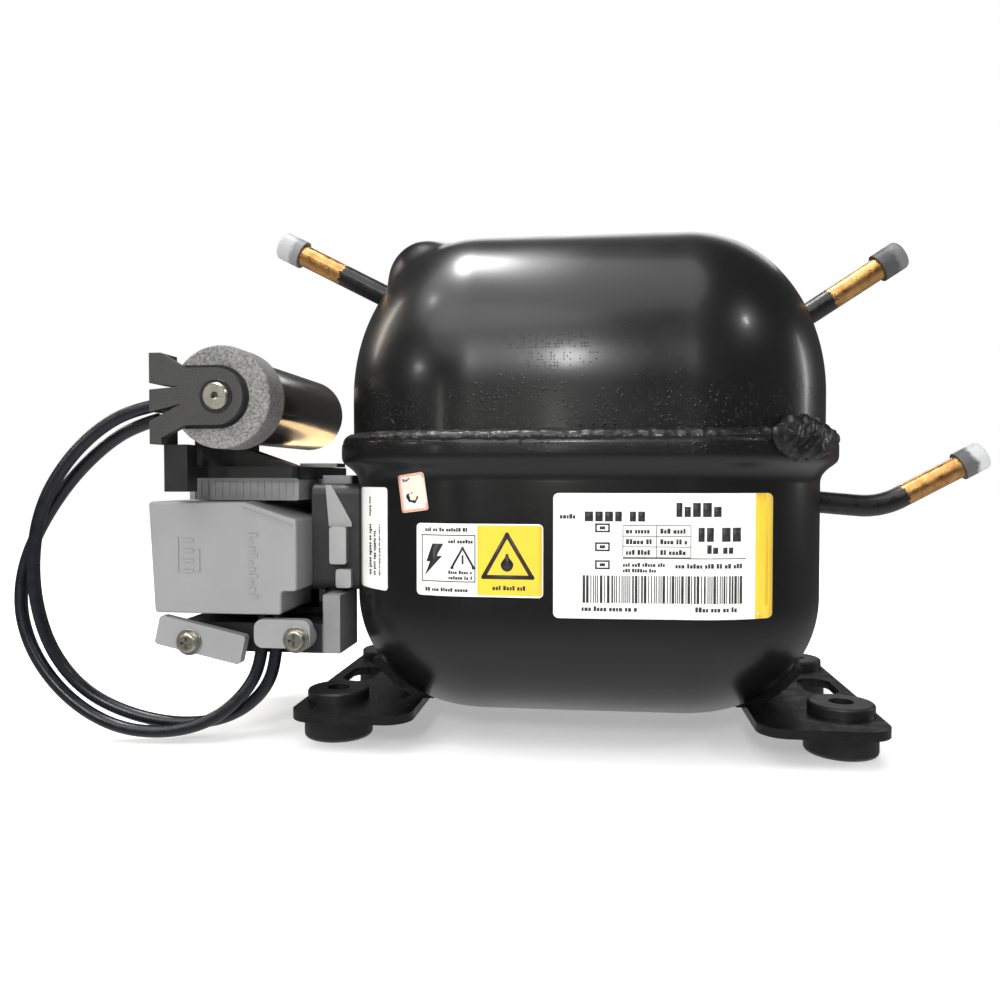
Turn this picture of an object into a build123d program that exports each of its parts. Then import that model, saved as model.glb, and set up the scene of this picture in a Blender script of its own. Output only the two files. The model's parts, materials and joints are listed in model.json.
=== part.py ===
from build123d import *

import math
import os

# Hermetic reciprocating compressor, millimetres.
# +X runs along the shell's long axis, +Z is up, and the electrical side faces -Y.
# The origin is the centre of the four mounting holes, on the plane the feet stand on.

os.makedirs("parts", exist_ok=True)


def save(piece, name):
    """Label a finished piece and write it as one STEP file."""
    piece.label = name
    export_step(piece, f"parts/{name}.step")


# ---------------------------------------------------------------- driving dimensions

WALL = 3.0

UPPER_HALF_X = 82.0
UPPER_HALF_Y = 66.5
UPPER_EDGE_Z = 94.5
DOME_START_Z = 118.0
DOME_RISE = 56.0
DOME_DEPTH = 45.0
DOME_TOP_Z = DOME_START_Z + DOME_RISE

LOWER_HALF_X = 80.5
LOWER_HALF_Y = 66.0
BOWL_START_Z = 50.0
BOWL_DEPTH = 40.0
BOWL_FLOOR_Z = BOWL_START_Z - BOWL_DEPTH
LEDGE_Z = UPPER_EDGE_Z

CORNER_R = 48.0
RIM_STEP = 4.5
RIM_CORNER_R = CORNER_R + RIM_STEP
RIM_HALF_X = UPPER_HALF_X + RIM_STEP
RIM_HALF_Y = UPPER_HALF_Y + RIM_STEP - 1.0
RIM_BOTTOM_Z = 95.4
RIM_TOP_Z = 102.5
RIM_GAP = 1.0

HOLE_SPACING_X = 170.0
HOLE_SPACING_Y = 70.0
MOUNT_HOLE_R = 4.0
PLATE_BOTTOM_Z = 10.2
PLATE_T = 3.0
PLATE_TOP_Z = PLATE_BOTTOM_Z + PLATE_T

TUBE_R = 4.0
TUBE_BORE_R = 2.6
SOCKET_R = 3.25
SOCKET_DEPTH = 24.0
CAP_R = 5.2
CAP_CLEARANCE = 0.05
CAP_COVER = 6.5
CAP_END_T = 2.0
CAP_END_GAP = 0.8

SHAFT_X = -10.0
SHAFT_R = 8.0
CRANK_THROW = 9.0
CYLINDER_Z = 124.0
BORE_R = 12.5
RUNNING = 0.04

TERMINAL_Y = -10.0
TERMINAL_Z = 63.0

CAN_X = -116.4
CAN_Z = 116.3
CAN_R = 14.5

LEAD_R = 2.1


# ---------------------------------------------------------------- shell volumes

def shell_outline(half_x, half_y, inset):
    """Rounded rectangle of the shell, moved in by inset."""
    RectangleRounded(2 * (half_x - inset), 2 * (half_y - inset), CORNER_R - inset)


def shoulder(depth, rise, wall, steps=8):
    """Insets and rises of a quarter-ellipse shoulder, moved in by wall along its normal."""
    points = []
    for i in range(steps + 1):
        t = math.radians(90 * i / steps)
        normal = Vector(math.cos(t) / depth, math.sin(t) / rise).normalized()
        inset = depth * (1 - math.cos(t)) + wall * normal.X
        points.append((inset, rise * math.sin(t) - wall * normal.Y))
    return points


def drawn_cup(half_x, half_y, edge_z, start_z, depth, rise, direction, wall):
    """Solid volume of a deep-drawn cup that closes upwards (1) or downwards (-1)."""
    with BuildPart() as cup:
        with BuildSketch(Plane.XY.offset(min(edge_z, start_z))):
            shell_outline(half_x, half_y, wall)
        extrude(amount=abs(edge_z - start_z))
        for inset, height in shoulder(depth, rise, wall):
            with BuildSketch(Plane.XY.offset(start_z + direction * height)):
                shell_outline(half_x, half_y, inset)
        loft()
    return cup.part


def dome(wall, edge_z=UPPER_EDGE_Z):
    return drawn_cup(
        UPPER_HALF_X, UPPER_HALF_Y, edge_z, DOME_START_Z, DOME_DEPTH, DOME_RISE, 1, wall
    )


def bowl(wall, edge_z=LEDGE_Z):
    return drawn_cup(
        LOWER_HALF_X, LOWER_HALF_Y, edge_z, BOWL_START_Z, BOWL_DEPTH, BOWL_DEPTH, -1, wall
    )


UPPER_OUTER = dome(0)
LOWER_OUTER = bowl(0)
LOWER_INNER = bowl(WALL, LEDGE_Z + 1)


# ---------------------------------------------------------------- refrigerant tubes

# Each route runs from inside the shell wall to the tube's open end.
DISCHARGE_ROUTE = [(-63.7, -8, 152.95), (-112.1, -8, 177.8)]
PROCESS_ROUTE = [(71.0, -4, 143.0), (110.0, -4, 168.4)]
SUCTION_ROUTE = [(73, 0, 82.3), (107.55, 0, 79.31), (140.2, 0, 97.2)]
SUCTION_BEND_R = 26.0
SEAM_TURN = 17.0
STRAIGHT_END = 28.0


def tube_line(route):
    if len(route) == 2:
        return Line(*route)
    return FilletPolyline(*route, radius=SUCTION_BEND_R)


def section_plane(centre, direction):
    """Plane across a tube, turned so that the wall's seam lies off the main planes."""
    out = direction.normalized()
    across = Vector(0, 1, 0)
    up = out.cross(across)
    turn = math.radians(SEAM_TURN)
    return Plane(centre, x_dir=across * math.cos(turn) + up * math.sin(turn), z_dir=out)


def end_plane(route):
    """Plane across a tube's open end, looking out of it."""
    last = Vector(*route[-1])
    return section_plane(last, last - Vector(*route[-2]))


def tube_solid(route, radius):
    with BuildPart() as solid:
        with BuildLine() as path:
            tube_line(route)
        with BuildSketch(section_plane(path.line @ 0, path.line % 0)):
            Circle(radius)
        sweep()
    return solid.part


def refrigerant_tube(route):
    """Stub with a socket at its open end, where the system's pipe is brazed in.

    A bent stub is an elbow and a straight end that meet face to face.
    """
    with BuildPart() as tube:
        add(tube_solid(route, TUBE_R))
        add(tube_solid(route, TUBE_BORE_R), mode=Mode.SUBTRACT)
        with BuildSketch(end_plane(route)):
            Circle(SOCKET_R)
        extrude(amount=-SOCKET_DEPTH, mode=Mode.SUBTRACT)
        if len(route) > 2:
            split(bisect_by=end_plane(route).offset(-STRAIGHT_END), keep=Keep.BOTH)
    return tube.part


def rubber_cap(route):
    """Soft closing cap that fits over the last stretch of a tube."""
    mouth = end_plane(route)
    with BuildPart() as cap:
        with BuildSketch(mouth.offset(-CAP_COVER)):
            Circle(CAP_R)
        extrude(amount=CAP_COVER + CAP_END_GAP + CAP_END_T)
        fillet(cap.edges().group_by(Axis(mouth.origin, mouth.z_dir))[-1], 1.4)
        with BuildSketch(mouth.offset(-CAP_COVER)):
            Circle(TUBE_R + CAP_CLEARANCE)
        extrude(amount=CAP_COVER + CAP_END_GAP, mode=Mode.SUBTRACT)
    return cap.part


BRAZE_WIDTH = 2.0
BRAZE_HEIGHT = 3.0
BRAZE_CHAMFER = 1.4


def braze_ring(route, distance):
    """Filler ring round a tube, at a distance along its first run."""
    start = Vector(*route[0])
    along = (Vector(*route[1]) - start).normalized()
    with BuildPart() as ring:
        with BuildSketch(Plane(start + along * distance, z_dir=along)):
            Circle(TUBE_R + BRAZE_WIDTH)
            Circle(TUBE_R, mode=Mode.SUBTRACT)
        extrude(amount=BRAZE_HEIGHT)
        chamfer(ring.edges().group_by(Axis(start, along))[-1].sort_by(SortBy.RADIUS)[-1], BRAZE_CHAMFER)
    return ring.part


ROUTES = {"process": PROCESS_ROUTE, "discharge": DISCHARGE_ROUTE, "suction": SUCTION_ROUTE}
BRAZE_DISTANCE = {"process": 4.5, "discharge": 7.0, "suction": 6.5}

for port, route in ROUTES.items():
    save(refrigerant_tube(route), f"{port}_tube")
    save(rubber_cap(route), f"{port}_tube_cap")


# ---------------------------------------------------------------- upper shell

BULGE_X = -55.0
BULGE_Y = -20.0
BULGE_R = 15.0
BULGE_TOP_Z = 175.0


def bulge(wall):
    """Round-topped pocket that gives the discharge loop room beside the dome."""
    radius = BULGE_R - wall
    with BuildPart() as pocket:
        with BuildSketch(Plane(Vector(BULGE_X, BULGE_Y, 0), x_dir=(1, 0, 0), z_dir=(0, -1, 0))):
            with BuildLine():
                Polyline(
                    (0, DOME_START_Z), (radius, DOME_START_Z), (radius, BULGE_TOP_Z - BULGE_R)
                )
                RadiusArc((radius, BULGE_TOP_Z - BULGE_R), (0, BULGE_TOP_Z - wall), -radius)
                Line((0, BULGE_TOP_Z - wall), (0, DOME_START_Z))
            make_face()
        revolve(axis=Axis((BULGE_X, BULGE_Y, 0), (0, 0, 1)))
    return pocket.part


with BuildPart() as upper_shell:
    add(UPPER_OUTER)
    add(bulge(0))
    add(dome(WALL, UPPER_EDGE_Z - 1), mode=Mode.SUBTRACT)
    add(bulge(WALL), mode=Mode.SUBTRACT)
    for route in (PROCESS_ROUTE, DISCHARGE_ROUTE):
        add(tube_solid(route, TUBE_R), mode=Mode.SUBTRACT)
save(upper_shell.part, "upper_shell")


# ---------------------------------------------------------------- lower shell

TERMINAL_CUP_R = 16.0
CUT_DEPTH = 20.0
TERMINAL_PLANE = Plane((-LOWER_HALF_X, TERMINAL_Y, TERMINAL_Z), x_dir=(0, 1, 0), z_dir=(1, 0, 0))

with BuildPart() as lower_shell:
    add(bowl(0, RIM_BOTTOM_Z - 2))
    with BuildSketch(Plane.XY.offset(RIM_BOTTOM_Z - 4)):
        shell_outline(LOWER_HALF_X, LOWER_HALF_Y, 0)
    with BuildSketch(Plane.XY.offset(RIM_BOTTOM_Z)):
        RectangleRounded(2 * RIM_HALF_X, 2 * RIM_HALF_Y, RIM_CORNER_R)
    loft()
    with BuildSketch(Plane.XY.offset(RIM_BOTTOM_Z)):
        RectangleRounded(2 * RIM_HALF_X, 2 * RIM_HALF_Y, RIM_CORNER_R)
    extrude(amount=RIM_TOP_Z - RIM_BOTTOM_Z)
    add(LOWER_INNER, mode=Mode.SUBTRACT)
    with BuildSketch(Plane.XY.offset(LEDGE_Z)):
        shell_outline(UPPER_HALF_X, UPPER_HALF_Y, -RIM_GAP)
    extrude(amount=CUT_DEPTH, mode=Mode.SUBTRACT)
    add(tube_solid(SUCTION_ROUTE, TUBE_R), mode=Mode.SUBTRACT)
    with BuildSketch(TERMINAL_PLANE.offset(-WALL)):
        Circle(TERMINAL_CUP_R)
    extrude(amount=CUT_DEPTH, mode=Mode.SUBTRACT)
save(lower_shell.part, "lower_shell")

BEAD_RISE = 2.6
BEAD_TAPER = 28
BEAD_INSET = 0.5
BEAD_LOW_Z = LEDGE_Z + 3

with BuildPart() as seam_weld:
    with BuildSketch(Plane.XY.offset(BEAD_LOW_Z)):
        shell_outline(UPPER_HALF_X, UPPER_HALF_Y, -RIM_GAP)
    extrude(amount=RIM_TOP_Z - BEAD_LOW_Z)
    with BuildSketch(Plane.XY.offset(RIM_TOP_Z)):
        RectangleRounded(
            2 * (RIM_HALF_X - BEAD_INSET), 2 * (RIM_HALF_Y - BEAD_INSET), RIM_CORNER_R - BEAD_INSET
        )
    extrude(amount=BEAD_RISE, taper=BEAD_TAPER)
    with BuildSketch(Plane.XY.offset(LEDGE_Z)):
        shell_outline(UPPER_HALF_X, UPPER_HALF_Y, 0)
    extrude(amount=CUT_DEPTH, mode=Mode.SUBTRACT)
save(seam_weld.part, "seam_weld")


with BuildPart() as braze_rings:
    for port, route in ROUTES.items():
        add(braze_ring(route, BRAZE_DISTANCE[port]))
    add(UPPER_OUTER, mode=Mode.SUBTRACT)
    add(bulge(0), mode=Mode.SUBTRACT)
    add(LOWER_OUTER, mode=Mode.SUBTRACT)
save(braze_rings.part, "braze_rings")


# ---------------------------------------------------------------- feet

PLATE_INNER_X = 55.0
PLATE_OUTER_X = 96.0
PLATE_HALF_Y = 58.0
PLATE_CORNER = 9.0
SADDLE_T = 3.0
SADDLE_HALF_Y = 30.0
SADDLE_X = PLATE_INNER_X + 8
SADDLE_WIDTH = 22.0
SADDLE_TOP_Z = 27.0
WINDOW_X = 86.0
WINDOW_LENGTH = 24.0
WINDOW_WIDTH = 12.0
GROMMET_R = 11.8
GROMMET_FLANGE_R = 10.6
GROMMET_NECK_R = 7.0
GROMMET_TOP_Z = 16.6


def plate_blank(side):
    """Flat of one base plate with its grommet holes and its slot."""
    with BuildPart() as blank:
        with BuildSketch(Plane.XY.offset(PLATE_BOTTOM_Z)):
            with Locations((side * (PLATE_INNER_X + PLATE_OUTER_X) / 2, 0)):
                RectangleRounded(PLATE_OUTER_X - PLATE_INNER_X, 2 * PLATE_HALF_Y, PLATE_CORNER)
            with Locations((side * HOLE_SPACING_X / 2, 0)):
                with GridLocations(0, HOLE_SPACING_Y, 1, 2):
                    Circle(GROMMET_NECK_R, mode=Mode.SUBTRACT)
            with Locations((side * WINDOW_X, 0)):
                SlotOverall(WINDOW_LENGTH, WINDOW_WIDTH, rotation=90, mode=Mode.SUBTRACT)
        extrude(amount=PLATE_T)
    return blank.part


def saddle(side):
    """Turned-up strip of the plate that hugs the bowl and is welded to it."""
    with BuildPart() as strip:
        with BuildSketch(Plane.XY.offset(PLATE_TOP_Z - 1)):
            with Locations((side * SADDLE_X, 0)):
                Rectangle(SADDLE_WIDTH, 2 * SADDLE_HALF_Y)
        extrude(amount=SADDLE_TOP_Z - PLATE_TOP_Z)
        add(bowl(-SADDLE_T), mode=Mode.INTERSECT)
    return strip.part


for name, side in (("base_plate_left", -1), ("base_plate_right", 1)):
    with BuildPart() as base_plate:
        add(plate_blank(side))
        add(saddle(side))
        add(LOWER_OUTER, mode=Mode.SUBTRACT)
    save(base_plate.part, name)

with BuildPart() as mount_grommets:
    with GridLocations(HOLE_SPACING_X, HOLE_SPACING_Y, 2, 2):
        Cylinder(GROMMET_R, PLATE_BOTTOM_Z, align=(Align.CENTER, Align.CENTER, Align.MIN))
    with BuildSketch(Plane.XY.offset(PLATE_BOTTOM_Z)):
        with GridLocations(HOLE_SPACING_X, HOLE_SPACING_Y, 2, 2):
            Circle(GROMMET_NECK_R)
    extrude(amount=PLATE_T)
    with BuildSketch(Plane.XY.offset(PLATE_TOP_Z)):
        with GridLocations(HOLE_SPACING_X, HOLE_SPACING_Y, 2, 2):
            Circle(GROMMET_FLANGE_R)
    extrude(amount=GROMMET_TOP_Z - PLATE_TOP_Z)
    fillet(mount_grommets.edges().group_by(Axis.Z)[0], 1.5)
    fillet(mount_grommets.edges().group_by(Axis.Z)[-1], 1.0)
    with BuildSketch():
        with GridLocations(HOLE_SPACING_X, HOLE_SPACING_Y, 2, 2):
            Circle(MOUNT_HOLE_R)
    extrude(amount=GROMMET_TOP_Z, mode=Mode.SUBTRACT)
save(mount_grommets.part, "mount_grommets")


# ---------------------------------------------------------------- labels

LABEL_T = 0.35
LABEL_CORNER = 1.2

# name: low X, high X, low Z, high Z
LABELS = {
    "nameplate_label": (-8.0, 55.0, 49.0, 85.5),
    "safety_label": (-51.0, -11.0, 53.5, 76.0),
    "inspection_sticker": (-57.5, -48.0, 79.0, 91.0),
    "side_label": (-73.0, -61.0, 53.5, 87.0),
}

skin = bowl(-LABEL_T)
for name, (low_x, high_x, low_z, high_z) in LABELS.items():
    with BuildPart() as label:
        with BuildSketch(Plane.XZ):
            with Locations(((low_x + high_x) / 2, (low_z + high_z) / 2)):
                RectangleRounded(high_x - low_x, high_z - low_z, LABEL_CORNER)
        extrude(amount=2 * LOWER_HALF_Y)
        add(skin, mode=Mode.INTERSECT)
        add(LOWER_OUTER, mode=Mode.SUBTRACT)
    save(label.part, name)


# ---------------------------------------------------------------- hermetic terminal

PIN_R = 1.15
BEAD_R = 3.2
PIN_CIRCLE_R = 8.0
PIN_INNER_X = -68.0
PIN_OUTER_X = -95.0
CUP_T = 3.5
pin_spots = PolarLocations(PIN_CIRCLE_R, 3, start_angle=90)

with BuildPart() as terminal_cup:
    with BuildSketch(TERMINAL_PLANE):
        Circle(TERMINAL_CUP_R)
        with pin_spots:
            Circle(BEAD_R, mode=Mode.SUBTRACT)
    extrude(amount=CUP_T)
save(terminal_cup.part, "terminal_cup")

with BuildPart() as terminal_glass:
    with BuildSketch(TERMINAL_PLANE):
        with pin_spots:
            Circle(BEAD_R)
            Circle(PIN_R, mode=Mode.SUBTRACT)
    extrude(amount=CUP_T)
save(terminal_glass.part, "terminal_glass")

with BuildPart() as terminal_pins:
    with BuildSketch(TERMINAL_PLANE.offset(PIN_OUTER_X - TERMINAL_PLANE.origin.X)):
        with pin_spots:
            Circle(PIN_R)
    extrude(amount=PIN_INNER_X - PIN_OUTER_X)
save(terminal_pins.part, "terminal_pins")


# ---------------------------------------------------------------- terminal box

BOX_FRONT_Y = -50.0
BOX_SPLIT_Y = -20.0
BOX_REAR_Y = 16.0
BOX_LEFT_X = -147.0
BOX_KNEE_X = -112.5
BOX_RIGHT_X = -94.8
BOX_NOTCH_X = -100.2
BOX_LID_TOP_Z = 82.0
BOX_SHOULDER_Z = 76.0
BOX_NOTCH_Z = 52.0
BOX_BOTTOM_Z = 44.0
TRAY_TOP_Z = 90.0
TRAY_BOTTOM_Z = 40.0
PLASTIC_T = 2.2
LID_DRAFT = 2.0
LID_SIDE_FILLET = 1.2
LID_FRONT_FILLET = 0.8


def lid_profile(inset):
    """Front outline of the lid, moved in by inset, with the cut-off corner and the notch."""
    Polyline(
        (BOX_LEFT_X + inset, BOX_LID_TOP_Z - inset),
        (BOX_KNEE_X - inset / 3, BOX_LID_TOP_Z - inset),
        (BOX_RIGHT_X - inset, BOX_SHOULDER_Z - inset),
        (BOX_RIGHT_X - inset, BOX_NOTCH_Z + inset),
        (BOX_NOTCH_X - inset, BOX_NOTCH_Z + inset),
        (BOX_NOTCH_X - inset, BOX_BOTTOM_Z + inset),
        (BOX_LEFT_X + LID_DRAFT + inset, BOX_BOTTOM_Z + inset),
        close=True,
    )


with BuildPart() as terminal_cover:
    with BuildSketch(Plane.XZ.offset(-BOX_SPLIT_Y)):
        with BuildLine():
            lid_profile(0)
        make_face()
    extrude(amount=BOX_SPLIT_Y - BOX_FRONT_Y)
    fillet(terminal_cover.edges().filter_by(Axis.Y), LID_SIDE_FILLET)
    fillet(terminal_cover.faces().sort_by(Axis.Y)[0].edges(), LID_FRONT_FILLET)
    with BuildSketch(Plane.XZ.offset(-BOX_SPLIT_Y)):
        with BuildLine():
            lid_profile(PLASTIC_T)
        make_face()
    extrude(amount=BOX_SPLIT_Y - BOX_FRONT_Y - PLASTIC_T, mode=Mode.SUBTRACT)
save(terminal_cover.part, "terminal_cover")


tray_mid_x = (BOX_LEFT_X + BOX_RIGHT_X) / 2
tray_mid_z = (TRAY_TOP_Z + TRAY_BOTTOM_Z) / 2
tray_width = BOX_RIGHT_X - BOX_LEFT_X
tray_height = TRAY_TOP_Z - TRAY_BOTTOM_Z
TRAY_CORNER = 2.5
PLUG_WINDOW_Y = 28.0
PLUG_WINDOW_Z = 30.0
PLUG_WINDOW_SHIFT = 4.5
LIP_LEFT_X = -134.0
LIP_RIGHT_X = -97.0
LIP_FRONT_Y = -41.0
LIP_BOTTOM_Z = 82.3
LIP_REAR_Y = -18.0
LUG_REAR_Y = -22.0
LEDGE_LEFT_X = -140.0
LEDGE_RIGHT_X = -82.0
LEDGE_FRONT_Y = -43.0
LEDGE_BOTTOM_Z = 30.0
LUG_LEFT_X = -88.0
LUG_TOP_Z = 50.0

BAR_FRONT_Y = -51.0
BAR_REAR_Y = -47.2
BAR_RIGHT = (-99.6, 37.8)
BAR_LEFT = (-128.5, 35.2)
BAR_LEFT_TILT = -12.5
BAR_RIGHT_SIZE = (19.4, 9.6)
BAR_RIGHT_CORNER = 3.0
BAR_LEFT_SIZE = (31.0, 10.0)
BAR_LEFT_CORNER = 1.2
SPACER_R = 4.4
SCREW_RIGHT = (-94.6, 36.0)
SCREW_LEFT = (-132.2, 34.4)
SCREW_SHANK_R = 1.6
SCREW_HEAD_R = 3.4
SCREW_HEAD_T = 2.4
SCREW_DEPTH = 12.0
SCREW_DOME = 1.0
CROSS_LENGTH = 4.0
CROSS_WIDTH = 0.9
CROSS_DEPTH = 1.4

with BuildPart() as terminal_base:
    with BuildSketch(Plane.XZ.offset(-BOX_REAR_Y)):
        with Locations((tray_mid_x, tray_mid_z)):
            RectangleRounded(tray_width, tray_height, TRAY_CORNER)
    extrude(amount=BOX_REAR_Y - BOX_SPLIT_Y)
    with BuildSketch(Plane.XZ.offset(-BOX_REAR_Y + PLASTIC_T)):
        with Locations((tray_mid_x, tray_mid_z)):
            Rectangle(tray_width - 2 * PLASTIC_T, tray_height - 2 * PLASTIC_T)
    extrude(amount=BOX_REAR_Y - BOX_SPLIT_Y, mode=Mode.SUBTRACT)
    with BuildSketch(Plane.YZ.offset(BOX_RIGHT_X - 2 * PLASTIC_T)):
        with Locations((TERMINAL_Y + PLUG_WINDOW_SHIFT, TERMINAL_Z)):
            Rectangle(PLUG_WINDOW_Y, PLUG_WINDOW_Z)
    extrude(amount=4 * PLASTIC_T, mode=Mode.SUBTRACT)
    with BuildSketch(Plane.XZ.offset(-LIP_REAR_Y)):
        with Locations(((LIP_LEFT_X + LIP_RIGHT_X) / 2, (LIP_BOTTOM_Z + TRAY_TOP_Z) / 2)):
            RectangleRounded(LIP_RIGHT_X - LIP_LEFT_X, TRAY_TOP_Z - LIP_BOTTOM_Z, 1)
    extrude(amount=LIP_REAR_Y - LIP_FRONT_Y)
    with BuildSketch(Plane.XZ.offset(-LEDGE_FRONT_Y)):
        with Locations(((LEDGE_LEFT_X + BOX_RIGHT_X) / 2, (LEDGE_BOTTOM_Z + TRAY_BOTTOM_Z) / 2)):
            Rectangle(BOX_RIGHT_X - LEDGE_LEFT_X, TRAY_BOTTOM_Z - LEDGE_BOTTOM_Z)
    extrude(amount=LEDGE_FRONT_Y)
    with BuildSketch(Plane.XZ.offset(-LEDGE_FRONT_Y)):
        with Locations(((LUG_LEFT_X + LEDGE_RIGHT_X) / 2, (LEDGE_BOTTOM_Z + LUG_TOP_Z) / 2)):
            Rectangle(LEDGE_RIGHT_X - LUG_LEFT_X, LUG_TOP_Z - LEDGE_BOTTOM_Z)
        with Locations(((BOX_RIGHT_X + LUG_LEFT_X) / 2, (LEDGE_BOTTOM_Z + TRAY_BOTTOM_Z) / 2)):
            Rectangle(LUG_LEFT_X - BOX_RIGHT_X + 2, TRAY_BOTTOM_Z - LEDGE_BOTTOM_Z)
    extrude(amount=LEDGE_FRONT_Y - LUG_REAR_Y)
    add(LOWER_OUTER, mode=Mode.SUBTRACT)
    with BuildSketch(Plane.XZ.offset(-BAR_FRONT_Y)):
        with Locations(SCREW_RIGHT, SCREW_LEFT):
            Circle(SCREW_SHANK_R)
    extrude(amount=-SCREW_DEPTH, mode=Mode.SUBTRACT)
save(terminal_base.part, "terminal_base")

FENCE_LEFT_X = BOX_RIGHT_X
FENCE_FRONT_Y = -34.0
FENCE_REAR_Y = 16.0
FENCE_BOTTOM_Z = 50.5
FENCE_TOP_Z = 88.0
FENCE_T = 1.5
FENCE_DEPTH = 20.0
FENCE_CORNER = 4.0

fence_center = (
    (FENCE_FRONT_Y + FENCE_REAR_Y) / 2,
    (FENCE_BOTTOM_Z + FENCE_TOP_Z) / 2,
)

with BuildPart() as terminal_fence:
    with BuildSketch(Plane.YZ.offset(FENCE_LEFT_X)):
        with Locations(fence_center):
            RectangleRounded(FENCE_REAR_Y - FENCE_FRONT_Y, FENCE_TOP_Z - FENCE_BOTTOM_Z, FENCE_CORNER)
            RectangleRounded(
                FENCE_REAR_Y - FENCE_FRONT_Y - 2 * FENCE_T,
                FENCE_TOP_Z - FENCE_BOTTOM_Z - 2 * FENCE_T,
                FENCE_CORNER - FENCE_T,
                mode=Mode.SUBTRACT,
            )
    extrude(amount=FENCE_DEPTH)
    add(LOWER_OUTER, mode=Mode.SUBTRACT)
save(terminal_fence.part, "terminal_fence")

CLIP_T = 3.0
CLIP_CORNER = 1.0
# center X, center Z, width, height
FRONT_CLIPS = [(-84.6, 66.5, 6.0, 13.0), (-82.6, 55.0, 5.5, 6.5)]
TOP_CLIP = (-88.5, -20.0, 11.0, 10.0)

with BuildPart() as fence_clips:
    with BuildSketch(Plane.XZ.offset(-FENCE_FRONT_Y)):
        for x, z, width, height in FRONT_CLIPS:
            with Locations((x, z)):
                RectangleRounded(width, height, CLIP_CORNER)
    extrude(amount=CLIP_T)
    with BuildSketch(Plane.XY.offset(FENCE_TOP_Z)):
        with Locations(TOP_CLIP[:2]):
            RectangleRounded(*TOP_CLIP[2:], CLIP_CORNER)
    extrude(amount=CLIP_T)
save(fence_clips.part, "fence_clips")

STARTER_LEFT_X = -112.0
STARTER_RIGHT_X = -84.5
STARTER_SHIFT = 4.0
STARTER_SIZE = (26.0, 21.0)
STARTER_CORNER = 2.0
TERMINAL_TAB_R = 2.0

with BuildPart() as ptc_starter:
    with BuildSketch(TERMINAL_PLANE.offset(STARTER_LEFT_X - TERMINAL_PLANE.origin.X)):
        with Locations((STARTER_SHIFT, 0)):
            RectangleRounded(*STARTER_SIZE, STARTER_CORNER)
        with pin_spots:
            Circle(PIN_R, mode=Mode.SUBTRACT)
    extrude(amount=STARTER_RIGHT_X - STARTER_LEFT_X)
    with BuildSketch(TERMINAL_PLANE.offset(STARTER_LEFT_X - TERMINAL_PLANE.origin.X)):
        with pin_spots:
            Circle(TERMINAL_TAB_R)
    extrude(amount=PIN_OUTER_X - STARTER_LEFT_X)
save(ptc_starter.part, "ptc_starter")

OVERLOAD_R = 9.5
OVERLOAD_T = 13.0
OVERLOAD_SHIFT = 5.0
OVERLOAD_FILLET = 2.0

with BuildPart() as overload_protector:
    with BuildSketch(TERMINAL_PLANE.offset(STARTER_LEFT_X - TERMINAL_PLANE.origin.X)):
        with Locations((OVERLOAD_SHIFT, 0)):
            Circle(OVERLOAD_R)
    extrude(amount=-OVERLOAD_T)
    fillet(overload_protector.edges().sort_by(Axis.X)[0], OVERLOAD_FILLET)
save(overload_protector.part, "overload_protector")


# ---------------------------------------------------------------- cable clamps

with BuildPart() as clamp_bars:
    with BuildSketch(Plane.XZ.offset(-BAR_REAR_Y)):
        with Locations(BAR_RIGHT):
            RectangleRounded(*BAR_RIGHT_SIZE, BAR_RIGHT_CORNER)
        with Locations(Location((*BAR_LEFT, 0), (0, 0, BAR_LEFT_TILT))):
            RectangleRounded(*BAR_LEFT_SIZE, BAR_LEFT_CORNER)
        with Locations(SCREW_RIGHT, SCREW_LEFT):
            Circle(SCREW_SHANK_R, mode=Mode.SUBTRACT)
    extrude(amount=BAR_REAR_Y - BAR_FRONT_Y)
    with BuildSketch(Plane.XZ.offset(-LEDGE_FRONT_Y)):
        with Locations(SCREW_RIGHT, SCREW_LEFT):
            Circle(SPACER_R)
            Circle(SCREW_SHANK_R, mode=Mode.SUBTRACT)
    extrude(amount=LEDGE_FRONT_Y - BAR_REAR_Y)
save(clamp_bars.part, "clamp_bars")

with BuildPart() as clamp_screws:
    with BuildSketch(Plane.XZ.offset(-BAR_FRONT_Y)):
        with Locations(SCREW_RIGHT, SCREW_LEFT):
            Circle(SCREW_HEAD_R)
    extrude(amount=SCREW_HEAD_T)
    fillet(clamp_screws.edges().sort_by(Axis.Y)[:2], SCREW_DOME)
    with BuildSketch(Plane.XZ.offset(-BAR_FRONT_Y + SCREW_HEAD_T)):
        with Locations(SCREW_RIGHT, SCREW_LEFT):
            Rectangle(CROSS_LENGTH, CROSS_WIDTH)
            Rectangle(CROSS_WIDTH, CROSS_LENGTH)
    extrude(amount=-CROSS_DEPTH, mode=Mode.SUBTRACT)
    with BuildSketch(Plane.XZ.offset(-BAR_FRONT_Y)):
        with Locations(SCREW_RIGHT, SCREW_LEFT):
            Circle(SCREW_SHANK_R)
    extrude(amount=-SCREW_DEPTH)
save(clamp_screws.part, "clamp_screws")


# ---------------------------------------------------------------- run capacitor

END_CAP_R = 16.8
END_CAP_FRONT_Y = -60.0
END_CAP_REAR_Y = -47.0
CAN_FRONT_Y = -56.0
CAN_REAR_Y = 27.0
CLIP_FRONT_Y = -63.0
TONGUE_HALF = 9.2
TONGUE_END_X = -107.6
WING_LEFT_X = -139.0
WING_RIGHT_X = -127.0
WING_BOTTOM_Z = 101.0
WING_TOP_Z = 130.5
STUD_R = 4.3
STUD_LENGTH = 4.2
STUD_CHAMFER = 0.5
HEX_R = 1.4
HEX_DEPTH = 2.5
CAN_FILLET = 1.5
END_CAP_FILLET = 0.8
WING_TAB = 4.0
WING_REAR_Y = -52.0
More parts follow.
